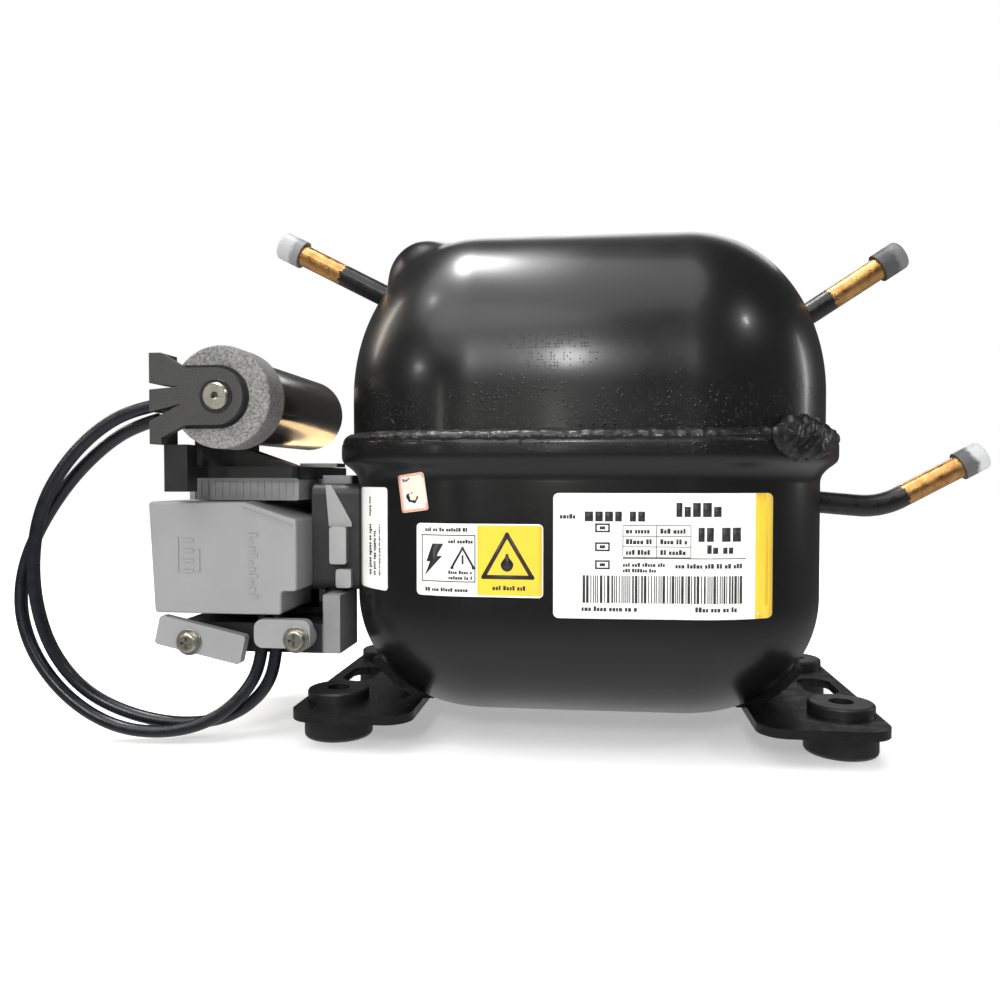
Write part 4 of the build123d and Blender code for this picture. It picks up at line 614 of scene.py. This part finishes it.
LEAD_DIAMETER = 4.2 * MM
LEAD_ROUTES = {
    "capacitor_lead_a": [
        (-138.9, -57, 114.2), (-149, -57, 112.4), (-160.5, -57.2, 106.2), (-171, -58, 96),
        (-179.5, -58.8, 82), (-184, -58, 65), (-184.5, -56, 47), (-180, -54, 30),
        (-169.5, -52, 16.5), (-154, -50, 8.6), (-137, -47.6, 5.2), (-121, -46, 7.2),
        (-108.8, -45.2, 15.5), (-103.4, -45.1, 27.5), (-103.2, -45.1, 44),
    ],
    "capacitor_lead_b": [
        (-138.9, -57, 109.4), (-149, -54, 107.4), (-161, -52.4, 101), (-173.5, -52.4, 89.5),
        (-184, -53, 74.5), (-190.5, -54, 59), (-190.8, -55.2, 43), (-184.5, -55.6, 27.5),
        (-172.5, -55.4, 14), (-157, -54.4, 5.2), (-140, -53, 3.6), (-124.5, -51.4, 7.4),
        (-113.6, -48, 16.5), (-108.4, -45.4, 28), (-107.9, -45.1, 44),
    ],
}

for lead_name, points in LEAD_ROUTES.items():
    curve = bpy.data.curves.new(lead_name + "_sleeve", "CURVE")
    curve.dimensions = "3D"
    curve.bevel_depth = LEAD_DIAMETER / 2
    curve.bevel_resolution = 8
    curve.resolution_u = 14
    curve.use_fill_caps = True
    spline = curve.splines.new("NURBS")
    spline.points.add(len(points) - 1)
    for point, place in zip(spline.points, points):
        point.co = (*(Vector(place) * MM), 1)
    spline.order_u = 3
    spline.use_endpoint_u = True
    lead = bpy.data.objects.new(lead_name + "_sleeve", curve)
    SCENE.collection.objects.link(lead)
    curve.materials.append(MATERIALS["lead_pvc"])
    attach(lead, "housing")
    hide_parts(lead_name)


# ---------------------------------------------------------------- shells

DOME_START = 118.0
DOME_RISE = 56.0
DOME_DEPTH = 45.0
DOME_ARC = 79.0
UPPER_SPACING = 1.3
UPPER_EDGE = 94.5
BULGE_AT = Vector((-55.0, -20.0, 0))
BULGE_R = 15.0
BULGE_TOP = 175.0
BLEND_REACH = 14.0
BLEND_RISE = 4.0


def dome_depth(point):
    """Signed distance to the drawn dome, negative inside."""
    out_x = max(abs(point.x) - UPPER_CORE[0], 0)
    out_y = max(abs(point.y) - UPPER_CORE[1], 0)
    reach = hypot(out_x, out_y)
    if point.z < DOME_START:
        return reach - CORNER
    flat = CORNER - DOME_DEPTH
    across = max(reach - flat, 0) / DOME_DEPTH
    up = (point.z - DOME_START) / DOME_RISE
    size = hypot(across, up)
    slope = hypot(across / DOME_DEPTH, up / DOME_RISE) / max(size, 1e-6)
    return (size - 1) / slope


def bulge_depth(point):
    """Signed distance to the round-topped pocket beside the dome."""
    low = Vector((BULGE_AT.x, BULGE_AT.y, min(max(point.z, DOME_START), BULGE_TOP - BULGE_R)))
    return (point - low).length - BULGE_R


def joined_depth(point, softness=4.0):
    a, b = dome_depth(point), bulge_depth(point)
    overlap = max(softness - abs(a - b), 0) / softness
    return min(a, b) - overlap**2 * softness / 4


def near_bulge(point):
    beside = hypot(point.x - BULGE_AT.x, point.y - BULGE_AT.y)
    return beside < BULGE_R + BLEND_REACH and point.z > DOME_START + BLEND_RISE


def pushed_out(point, outward):
    """The point moved along outward until it lies on the dome and pocket joined together."""
    for _ in range(24):
        depth = joined_depth(point)
        if depth > -0.01:
            break
        point = point - outward * depth * 0.9
    return point


def closed_skin(name, outer, wall, material, **options):
    """Cup from rings of points that run from its open edge to its middle, given a wall thickness."""
    columns = len(outer[0])
    rows = len(outer)
    inner = []
    for i, ring in enumerate(outer):
        before, after = outer[max(i - 1, 0)], outer[min(i + 1, rows - 1)]
        moved = []
        for j, point in enumerate(ring):
            across = ring[(j + 1) % columns] - ring[j - 1]
            normal = across.cross(after[j] - before[j]).normalized()
            moved.append(point - normal * wall)
        inner.append(moved)
    for point in inner[0]:
        point.z = outer[0][0].z
    form = Form()
    start = form.grid(list(reversed(inner)) + outer, close_u=True)
    form.fan(start, columns, sum(inner[-1], Vector()) / columns, flip=True)
    last = start + (2 * rows - 1) * columns
    form.fan(last, columns, sum(outer[-1], Vector()) / columns)
    return form.piece(name, material, **options)


def upper_rings(spacing):
    """Outer rings of the upper shell from its edge to the middle of its top."""
    columns = outline_columns(spacing)
    rings = []
    wall_steps = round((DOME_START - UPPER_EDGE) / spacing)
    for i in range(wall_steps):
        z = UPPER_EDGE + (DOME_START - UPPER_EDGE) * i / wall_steps
        rings.append(level(columns, UPPER_CORE, CORNER, z))
    dome_steps = round(DOME_ARC / spacing)
    for i in range(dome_steps + 1):
        t = pi / 2 * i / dome_steps
        reach = CORNER - DOME_DEPTH * (1 - cos(t))
        z = DOME_START + DOME_RISE * sin(t)
        outward = [Vector((c[2] * cos(t) / DOME_DEPTH, c[3] * cos(t) / DOME_DEPTH,
                           sin(t) / DOME_RISE)).normalized() for c in columns]
        ring = level(columns, UPPER_CORE, reach, z, FRONT_CROWN * cos(t))
        rings.append([pushed_out(p, n) if near_bulge(p) else p for p, n in zip(ring, outward)])
    top = rings[-1]
    rings.extend(shrunk(top, share, 0.5) for share in CAP_SHARES)
    return rings


upper = closed_skin("upper_shell_skin", upper_rings(UPPER_SPACING), WALL, UPPER_ENAMEL, slot="shell_paint")
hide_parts("upper_shell")


BOWL_START = 50.0
BOWL_R = 40.0
BOWL_ARC = 63.0
LOWER_SPACING = 1.6
LEDGE = 94.5
RIM_TOP = 102.5
RIM_GAP = 1.0
INNER_STEPS = 11

# Reach and height of the flare and the rim's outside, from the wall upwards.
FLARE = [(48.0, 89.0), (48.05, 90.2), (48.3, 91.2), (48.9, 92.3), (49.9, 93.4), (50.9, 94.3), (51.7, 95.1),
         (52.2, 95.9), (52.45, 96.8), (52.5, 97.8), (52.5, 99.2), (52.5, 100.6), (52.35, 101.5),
         (51.9, 102.2), (51.2, 102.5), (50.2, 102.5)]
FLARE_LOW = FLARE[0][1]
FLARE_WIDENS_OVER = 6.0


def lower_rings(spacing):
    """Rings of the lower shell, from the outer middle of its bowl up over the rim and down inside."""
    columns = outline_columns(spacing)
    rings = []
    steps = round(BOWL_ARC / spacing)
    bowl_rings = []
    for i in range(steps + 1):
        t = pi / 2 * (1 - i / steps)
        reach = CORNER - BOWL_R * (1 - cos(t))
        bowl_rings.append(level(columns, LOWER_CORE, reach, BOWL_START - BOWL_R * sin(t),
                                FRONT_CROWN * cos(t)))
    rings.extend(shrunk(bowl_rings[0], share, 0) for share in reversed(CAP_SHARES))
    rings.extend(bowl_rings)
    for i in range(1, round((FLARE_LOW - BOWL_START) / spacing) + 1):
        z = BOWL_START + i * spacing
        if z < FLARE_LOW:
            rings.append(level(columns, LOWER_CORE, CORNER, z))
    for reach, z in FLARE:
        share = min(max((z - FLARE_LOW) / FLARE_WIDENS_OVER, 0), 1)
        core = tuple(a + (b - a) * share for a, b in zip(LOWER_CORE, RIM_CORE))
        rings.append(level(columns, core, reach, z))
    rings.append(level(columns, UPPER_CORE, CORNER + RIM_GAP, RIM_TOP))
    rings.append(level(columns, UPPER_CORE, CORNER + RIM_GAP, LEDGE))
    rings.append(level(columns, LOWER_CORE, CORNER - WALL, LEDGE))
    for i in range(INNER_STEPS + 1):
        t = pi / 2 * i / INNER_STEPS
        reach = CORNER - WALL - (BOWL_R - WALL) * (1 - cos(t))
        rings.append(level(columns, LOWER_CORE, reach, BOWL_START - (BOWL_R - WALL) * sin(t),
                           FRONT_CROWN * cos(t)))
    rings.extend(shrunk(rings[-1], share, 0) for share in CAP_SHARES)
    return rings


rings = lower_rings(LOWER_SPACING)
form = Form()
ring_size = len(rings[0])
first = form.grid(rings, close_u=True)
form.fan(first, ring_size, sum(rings[0], Vector()) / ring_size, flip=True)
form.fan(first + (len(rings) - 1) * ring_size, ring_size, sum(rings[-1], Vector()) / ring_size)
lower = form.piece("lower_shell_skin", enamel("lower_enamel", 96, 103), slot="shell_paint")
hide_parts("lower_shell")


# ---------------------------------------------------------------- weld bead

BEAD_PROFILE = [(48.2, 100.8), (47.9, 103.6), (48.1, 105.0), (48.8, 105.2), (49.6, 104.8), (50.5, 104.4),
                (51.2, 103.8), (51.7, 103.0), (51.8, 102.1), (51.4, 101.3), (50.4, 100.9), (49.4, 100.8)]
BEAD_MIDDLE = (50.2, 102.8)
BEAD_SPACING = 0.55
BEAD_REACH = 50.0
RIPPLE_LENGTH = 0.85
LUMP_AT = (67.0, -47.0)
LUMP_R = 26.0
LUMP_RISE = 1.6


def bead_rings():
    """Closed bead section swept round the shell, with ripples, pits and the lump where the weld ends."""
    columns = outline_columns(BEAD_SPACING, BEAD_REACH)
    steps = 3
    profile = []
    for k, (reach, z) in enumerate(BEAD_PROFILE):
        next_reach, next_z = BEAD_PROFILE[(k + 1) % len(BEAD_PROFILE)]
        for i in range(steps):
            profile.append((reach + (next_reach - reach) * i / steps, z + (next_z - z) * i / steps))
    middle = Vector((BEAD_MIDDLE[0], 0, BEAD_MIDDLE[1]))
    rows = []
    for reach, z in profile:
        ring = level(columns, UPPER_CORE, reach, z)
        outward_up = Vector((reach, 0, z)) - middle
        size = outward_up.length
        row = []
        for number, (point, column) in enumerate(zip(ring, columns)):
            outward = Vector((column[2] * outward_up.x, column[3] * outward_up.x, outward_up.z)) / size
            lump_gap = hypot(point.x - LUMP_AT[0], point.y - LUMP_AT[1])
            lump = max(0.0, 1 - (lump_gap / LUMP_R) ** 2)
            drift = noise.noise(point * 0.16)
            rough = noise.fractal(point * 0.55, 0.8, 2.1, 4)
            ripple = sin(number * BEAD_SPACING / RIPPLE_LENGTH + 3 * drift + z * 0.5)
            rise = 0.30 * drift + (0.20 + 0.6 * lump) * rough + (0.08 + 0.3 * lump) * ripple
            rise += LUMP_RISE * lump - 0.2
            exposed = 1.0 if size > 0.1 and (outward.z > -0.3 or outward_up.x > 0) else 0.2
            row.append(point + outward * max(rise, -0.7) * exposed)
        rows.append(row)
    return rows


bead_rows = bead_rings()
bead_rows.append(bead_rows[0])
form = Form()
form.grid(bead_rows, close_u=True)
bead = form.piece("weld_bead", MATERIALS["weld_paint"], slot="weld_paint")
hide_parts("seam_weld")


# ---------------------------------------------------------------- labels

random.seed(7)
INK = printed("label_ink", (0.02, 0.02, 0.022), 0.4)
YELLOW_INK = printed("label_yellow_ink", (0.78, 0.52, 0.03), 0.35)
WHITE_INK = printed("label_white_ink", (0.78, 0.78, 0.76), 0.4)
ORANGE_INK = printed("label_orange_ink", (0.72, 0.33, 0.20), 0.45)


def wall_point(x, z, lift):
    """Point on the crowned wall of the lower shell, lifted off along the wall's normal."""
    half = LOWER_CORE[0]
    reach = CORNER
    for (low_reach, low), (high_reach, high) in zip(FLARE, FLARE[1:]):
        if low < z <= high:
            reach = low_reach + (high_reach - low_reach) * (z - low) / (high - low)
    if z < BOWL_START:
        reach = CORNER - BOWL_R + sqrt(BOWL_R**2 - (BOWL_START - z) ** 2)
    beyond = max(abs(x) - half, 0)
    turn = asin(min(beyond / CORNER, 1))
    side = copysign(1, x)
    share = min(abs(x) / half, 1)
    crown = FRONT_CROWN * (1 - share**2) ** 2
    slope = FRONT_CROWN * 4 * share * (1 - share**2) / half * side if share < 1 else 0
    normal = Vector((sin(turn) * side + slope, -cos(turn), 0)).normalized()
    edge = min(abs(x), half) * side + sin(turn) * reach * side
    return Vector((edge, -(LOWER_CORE[1] + cos(turn) * reach + crown), z)) + normal * lift


class Print:
    """Flat shapes laid on the shell wall. u and v are millimetres from the label's lower left corner."""

    def __init__(self, left, low, lift, tilt=0.0):
        self.left, self.low, self.lift, self.tilt = left, low, lift, tilt
        self.form = Form()

    def put(self, u, v):
        return wall_point(self.left + u - self.tilt * v, self.low + v + self.tilt * u, self.lift)

    def box(self, u0, v0, u1, v1, corner=0.0):
        rows = max(2, round((v1 - v0) / 4) + 1) if not corner else 0
        heights = [v0 + (v1 - v0) * i / (rows - 1) for i in range(rows)]
        if corner:
            bend = [corner * (1 - cos(pi / 2 * i / 5)) for i in range(6)]
            heights = [v0 + b for b in bend] + [v1 - b for b in reversed(bend)]
        columns = max(2, round((u1 - u0) / 1.5) + 1)
        ring = []
        for v in heights:
            near = min(v - v0, v1 - v)
            inset = corner - sqrt(max(corner**2 - (corner - near) ** 2, 0)) if near < corner else 0
            pitch = (u1 - u0 - 2 * inset) / (columns - 1)
            ring.append([self.put(u0 + inset + pitch * k, v) for k in range(columns)])
        self.form.grid(ring)

    def shape(self, corners):
        start = len(self.form.vertices)
        self.form.vertices.extend(self.put(u, v) for u, v in corners)
        self.form.faces.append(tuple(range(start, start + len(corners))))

    def frame(self, u0, v0, u1, v1, line):
        self.box(u0, v0, u1, v0 + line)
        self.box(u0, v1 - line, u1, v1)
        self.box(u0, v0 + line, u0 + line, v1 - line)
        self.box(u1 - line, v0 + line, u1, v1 - line)

    def outline(self, corners, width):
        """Strokes from corner to corner and back to the first."""
        for a, b in zip(corners, corners[1:] + corners[:1]):
            self.stroke(a, b, width)

    def stroke(self, a, b, width):
        along = Vector((b[0] - a[0], b[1] - a[1])).normalized()
        side = Vector((-along.y, along.x)) * width / 2
        end = along * width * 0.45
        a, b = Vector(a) - end, Vector(b) + end
        self.shape([tuple(a - side), tuple(b - side), tuple(b + side), tuple(a + side)])

    def words(self, u0, u1, v0, v1, stand_up=False):
        """Row of plain blocks where the real label has words."""
        height = (u1 - u0) if stand_up else (v1 - v0)
        at, last = (v0, v1) if stand_up else (u0, u1)
        while at < last - height * 0.4:
            for _ in range(random.randint(2, 6)):
                width = height * random.uniform(0.4, 0.62)
                tall = height * random.choice((0.72, 0.72, 1.0))
                if at + width > last:
                    break
                if stand_up:
                    self.box(u0, at, u0 + tall, at + width)
                else:
                    self.box(at, v0, at + width, v0 + tall)
                at += width + height * 0.16
            at += height * 0.42

    def piece(self, name, material, slot, thickness):
        piece = self.form.piece(name, material, slot=slot)
        thick = piece.modifiers.new("thickness", "SOLIDIFY")
        thick.thickness = thickness * MM
        thick.offset = -1
        apply_modifiers(piece)
        return piece


LABEL_LIFT = 0.20
INK_LIFT = 0.235
FILM = 0.15
INK_FILM = 0.03
SHEETS = {
    "nameplate_label": (-8, 47.6, 66, 37.9, 1.6, 0.0, "label_white"),
    "safety_label": (-51, 53.5, 40, 22.5, 1.4, 0.0, "label_yellow"),
    "inspection_sticker": (-56.2, 78.9, 9.3, 11.8, 0.8, 0.13, "sticker_paper"),
    "side_label": (-74.8, 53.5, 12.8, 33.5, 1.2, 0.0, "label_white"),
}
for node_name, (left, low, width, height, corner, tilt, slot) in SHEETS.items():
    sheet = Print(left, low, LABEL_LIFT, tilt)
    sheet.box(0, 0, width, height, corner)
    label = sheet.piece(node_name + "_film", MATERIALS[slot], slot, FILM)
    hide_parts(node_name)


def ink_for(node_name, layer=0):
    left, low, _, _, _, tilt, _ = SHEETS[node_name]
    return Print(left, low, INK_LIFT + INK_FILM * layer, tilt)


strip = ink_for("nameplate_label")
strip.box(60.4, 0.05, 64.4, 37.85)
strip.box(62.2, 0.05, 65.95, 37.85, 1.6)
strip.piece("nameplate_strip", YELLOW_INK, "label_white", INK_FILM)

text = ink_for("nameplate_label")
text.low += 1.2
text.words(9.5, 28, 28.2, 32.3)
text.words(36.7, 52.6, 29.6, 33.8)
for low in (24.9, 19.2, 13.8):
    text.frame(12.6, low, 17.0, low + 2.7, 0.5)
    text.box(14.0, low + 0.9, 15.6, low + 1.8)
for v in (17.4, 20.6, 23.8, 27.0):
    text.box(20.9, v - 0.1, 41.0, v + 0.1)
for u in (20.9, 30.9, 41.0):
    text.box(u - 0.1, 17.5, u + 0.1, 26.9)
for v in (18.2, 21.4, 24.6):
    text.words(21.8, 29.9, v, v + 1.5)
    text.words(32.0, 40.0, v, v + 1.5)
text.words(43.2, 57.4, 22.2, 26.4)
text.words(45.8, 54.6, 18.6, 21.2)
text.box(20.9, 17.0, 57.4, 17.25)
text.words(20.9, 34.0, 14.6, 15.8)
text.words(20.9, 31.0, 12.9, 14.0)
text.words(36.5, 57.0, 14.2, 15.6)
u = 8.9
while u < 55.8:
    bar = random.choice((0.28, 0.28, 0.5, 0.75))
    text.box(u, 3.6, u + bar, 11.9)
    u += bar + random.choice((0.3, 0.3, 0.55))
text.words(8.6, 25.2, 1.1, 2.6)
text.words(42.4, 55.4, 1.1, 2.6)
text.words(2.0, 7.0, 29.0, 30.4)
text.piece("nameplate_print", INK, "label_white", INK_FILM)

half = ink_for("safety_label")
half.box(19.7, 0.5, 39.6, 22.0, 0.6)
half.piece("safety_yellow", YELLOW_INK, "label_yellow", INK_FILM)
marks = ink_for("safety_label", 1)
marks.frame(1.8, 4.4, 19.1, 19.0, 0.3)
marks.shape([(2.9, 6.2), (4.6, 10.6), (3.4, 10.6), (5.4, 16.2), (9.0, 16.2), (6.8, 12.4), (8.6, 12.4)])
marks.outline([(11.6, 8.8), (18.6, 8.8), (15.1, 15.0)], 0.7)
marks.box(14.8, 10.0, 15.4, 12.8)
for left, right, low, high in ((10.6, 18.4, 16.4, 17.6), (10.6, 18.4, 5.2, 6.3), (10.6, 18.4, 6.9, 8.0),
                               (3.0, 17.0, 20.0, 21.2), (3.0, 17.0, 1.4, 2.6)):
    marks.words(left, right, low, high)
marks.outline([(21.6, 6.2), (36.6, 6.2), (28.9, 19.2)], 1.25)
DROP_AT = (28.9, 10.2)
drop = []
for up, across in circle(20):
    point = 0.9 if up < -0.9 else 0
    drop.append((DROP_AT[0] + 2.0 * across * (1 + 0.5 * min(0, up)), DROP_AT[1] - 2.3 * up + point))
marks.shape(drop)
marks.words(24.4, 35.0, 2.2, 3.6)
marks.piece("safety_print", INK, "label_yellow", INK_FILM)

band = ink_for("inspection_sticker")
band.box(0.9, 1.1, 8.4, 8.2, 0.4)
band.box(0.9, 9.2, 8.4, 11.0, 0.3)
band.piece("sticker_fields", WHITE_INK, "sticker_paper", INK_FILM)
edge = ink_for("inspection_sticker")
edge.frame(0.15, 0.15, 9.15, 11.65, 0.55)
edge.piece("sticker_border", ORANGE_INK, "sticker_paper", INK_FILM)
stamp = ink_for("inspection_sticker", 1)
STAMP_AT = (4.4, 4.4)
STAMP_SIDES = 24
blot = []
for k in range(STAMP_SIDES):
    a = 2 * pi * k / STAMP_SIDES
    blot.append((STAMP_AT[0] + (2.1 + 0.3 * sin(3 * a)) * cos(a),
                 STAMP_AT[1] + (1.7 + 0.3 * cos(5 * a)) * sin(a)))
stamp.shape(blot)
stamp.words(1.6, 7.9, 9.6, 10.6)
stamp.piece("sticker_stamp", INK, "sticker_paper", INK_FILM)

side_text = ink_for("side_label")
for left, right, low, high in ((4.8, 6.1, 4.6, 22.0), (6.9, 8.0, 4.6, 20.0),
                               (9.2, 10.0, 4.6, 22.0), (4.8, 5.8, 24.0, 30.5)):
    side_text.words(left, right, low, high, stand_up=True)
side_text.piece("side_label_print", INK, "label_white", INK_FILM)


# ---------------------------------------------------------------- small parts on the left side

def plate(name, outlines, front_y, back_y, slot, finish_name=None):
    """Flat piece or pieces cut from outlines in X and Z, in the slot's material or another one."""
    form = Form()
    for outline in outlines:
        count = len(outline)
        start = len(form.vertices)
        form.vertices.extend(Vector((x, front_y, z)) for x, z in outline)
        form.vertices.extend(Vector((x, back_y, z)) for x, z in outline)
        form.faces.append(tuple(start + k for k in range(count)))
        form.faces.append(tuple(start + count + k for k in reversed(range(count))))
        for k in range(count):
            after = (k + 1) % count
            form.faces.append((start + after, start + k, start + count + k, start + count + after))
    return form.piece(name, MATERIALS[finish_name or slot], slot=slot, smooth=False)


def rectangle(x0, z0, x1, z1):
    return [(x0, z0), (x1, z0), (x1, z1), (x0, z1)]


WASHER_SIDES = 40


def ring_plate(name, centres, inner, outer, front_y, back_y, slot, finish_name=None):
    """Flat washers round centres in X and Z."""
    form = Form()
    for x, z in centres:
        rings = []
        for radius, y in ((inner, back_y), (inner, front_y), (outer - 0.2, front_y), (outer, front_y + 0.2),
                          (outer, back_y), (inner, back_y)):
            rings.append([Vector((x + radius * a, y, z + radius * b)) for a, b in circle(WASHER_SIDES)])
        form.grid(rings, close_u=True)
    return form.piece(name, MATERIALS[finish_name or slot], slot=slot, smooth=False)


# Short raised ridges moulded on the lid, where the real one has marks.
LID_FRONT = -50.0
ridges = [rectangle(-137.2, 58.0, -136.2, 70.0), rectangle(-129.6, 58.0, -128.6, 66.0)]
ridges += [rectangle(-134.6, z, -130.8, z + 0.9) for z in (58.0, 61.5, 65.0, 68.5)]
ridges += [rectangle(-111.4, 49.6 + 2.3 * k, -108.2 - 0.8 * (k % 3), 50.6 + 2.3 * k) for k in range(10)]
ridges += [[(-113.6, 79.4), (-96.4, 73.6), (-96.4, 74.3), (-113.6, 80.1)]]
plate("lid_ridges", ridges, LID_FRONT - 0.3, LID_FRONT + 0.2, "cover_plastic")

LIP_FRONT = -41.0
lip_ribs = [rectangle(-132.6 + 2.55 * k, 83.4, -132.1 + 2.55 * k, 89.0) for k in range(14)]
plate("lip_ribs", lip_ribs, LIP_FRONT - 0.35, LIP_FRONT + 0.2, "base_plastic")

FENCE_FRONT = -34.0
web = [(-89.6, 87.6), (-87.6, 87.6), (-80.2, 74.4), (-80.2, 73.0), (-88.4, 73.0)]
plate("fence_web", [web], FENCE_FRONT - 0.8, FENCE_FRONT + 0.3, "clip_plastic")

SCREW_SPOTS = [(-94.6, 36.0), (-132.2, 34.4)]
BAR_FRONT = -50.9
ring_plate("clamp_washers", SCREW_SPOTS, 3.0, 4.5, BAR_FRONT - 0.65, BAR_FRONT, "screw_zinc")

# Painted shadow: a dark sheet in the gap between the clip's tongue and the capacitor's end. Also the ring
# round the stud.
CAN_SPOT = (-116.4, 116.3)
TONGUE_LEFT = -128.4
TONGUE_MIDDLE = -116.8
GAP_R = 10.3
GAP_STEPS = 24
END_FRONT = -59.8
TONGUE_FRONT = -62.8
gap_shadow = [(TONGUE_LEFT, CAN_SPOT[1] - GAP_R)]
for k in range(GAP_STEPS + 1):
    turn = pi * k / GAP_STEPS
    gap_shadow.append((TONGUE_MIDDLE + GAP_R * sin(turn), CAN_SPOT[1] - GAP_R * cos(turn)))
gap_shadow.append((TONGUE_LEFT, CAN_SPOT[1] + GAP_R))
# Painted shadow: this near-black sheet stands in for the shade inside the gap.
plate("tongue_gap_shadow", [gap_shadow], END_FRONT - 0.35, END_FRONT, "capacitor_resin", "bracket_black")
ring_plate("stud_ring", [CAN_SPOT], 4.2, 5.5, TONGUE_FRONT - 0.5, TONGUE_FRONT, "screw_zinc", "bracket_black")

STRIP_FRONT = -27.0
STRIP_BACK = -17.0
strip = rectangle(-101.5, 93.9, -87.8, 95.3)
plate("bracket_strip", [strip], STRIP_FRONT, STRIP_BACK, "plated_steel")


# ---------------------------------------------------------------- end of the weld, and dots on the dome

HEAP_AT = Vector((67.4, -56.3, 102.2))
HEAP_HALF = (14.5, 4.4, 6.9)


def weld_overlap():
    """Heap of filler where the weld's two ends meet, with ridges that run over it."""
    form = Form()
    around, up = 120, 60
    outward = Vector((0.66, -0.75, 0))
    along = Vector((0.75, 0.66, 0))
    rows = []
    for i in range(1, up):
        lift = pi * i / up - pi / 2
        row = []
        for k in range(around):
            turn = 2 * pi * k / around
            a, b, c = cos(lift) * cos(turn), cos(lift) * sin(turn), sin(lift)
            place = HEAP_AT + along * a * HEAP_HALF[0] + outward * b * HEAP_HALF[1]
            place = place + Vector((0, 0, c * HEAP_HALF[2]))
            ridge = 0.5 * sin(a * 15 - c * 6 + 3 * noise.noise(place * 0.15)) * (1 - a * a)
            rough = 1.1 * noise.noise(place * 0.17) + 0.35 * noise.noise(place * 0.6)
            push = (along * a + outward * b + Vector((0, 0, c))).normalized()
            row.append(place + push * (ridge + rough))
        rows.append(row)
    start = form.grid(rows, close_u=True)
    form.fan(start, around, sum(rows[0], Vector()) / around, flip=True)
    form.fan(start + (len(rows) - 1) * around, around, sum(rows[-1], Vector()) / around)
    return form.piece("weld_overlap", MATERIALS["weld_paint"], slot="weld_paint")


weld_overlap()


def dome_point(x, z):
    """Point on the front of the upper shell."""
    rise = max(z - DOME_START, 0) / DOME_RISE
    reach = CORNER - DOME_DEPTH * (1 - sqrt(1 - rise**2))
    share = min(abs(x) / UPPER_CORE[0], 1)
    crown = FRONT_CROWN * sqrt(1 - rise**2) * (1 - share**2) ** 2
    return Vector((x, -(UPPER_CORE[1] + reach + crown), z))


random.seed(11)
dots = Form()
DOT_R = 0.42
DOT_RISE = 0.16
DOT_ROOT = 0.12
DOT_SIDES = 8
DOT_PITCH = 0.95
DOT_SHARE = 0.52
MARK_PITCH = 3.9


def put_dot(at):
    """Small raised cone on the front of the dome."""
    first = len(dots.vertices)
    dots.vertices.extend(at + Vector((DOT_R * a, DOT_ROOT, DOT_R * b)) for a, b in circle(DOT_SIDES))
    dots.fan(first, DOT_SIDES, at + Vector((0, -DOT_RISE, 0)), flip=True)


for left, right, low in ((-23.0, 4.0, 129.6), (-16.5, 5.0, 123.9)):
    x = left
    while x < right:
        for column in range(3):
            for step in range(5):
                if random.random() < DOT_SHARE:
                    put_dot(dome_point(x + column * DOT_PITCH, low + step * DOT_PITCH))
        x += MARK_PITCH
dots.piece("dome_dots", UPPER_ENAMEL, slot="shell_paint")
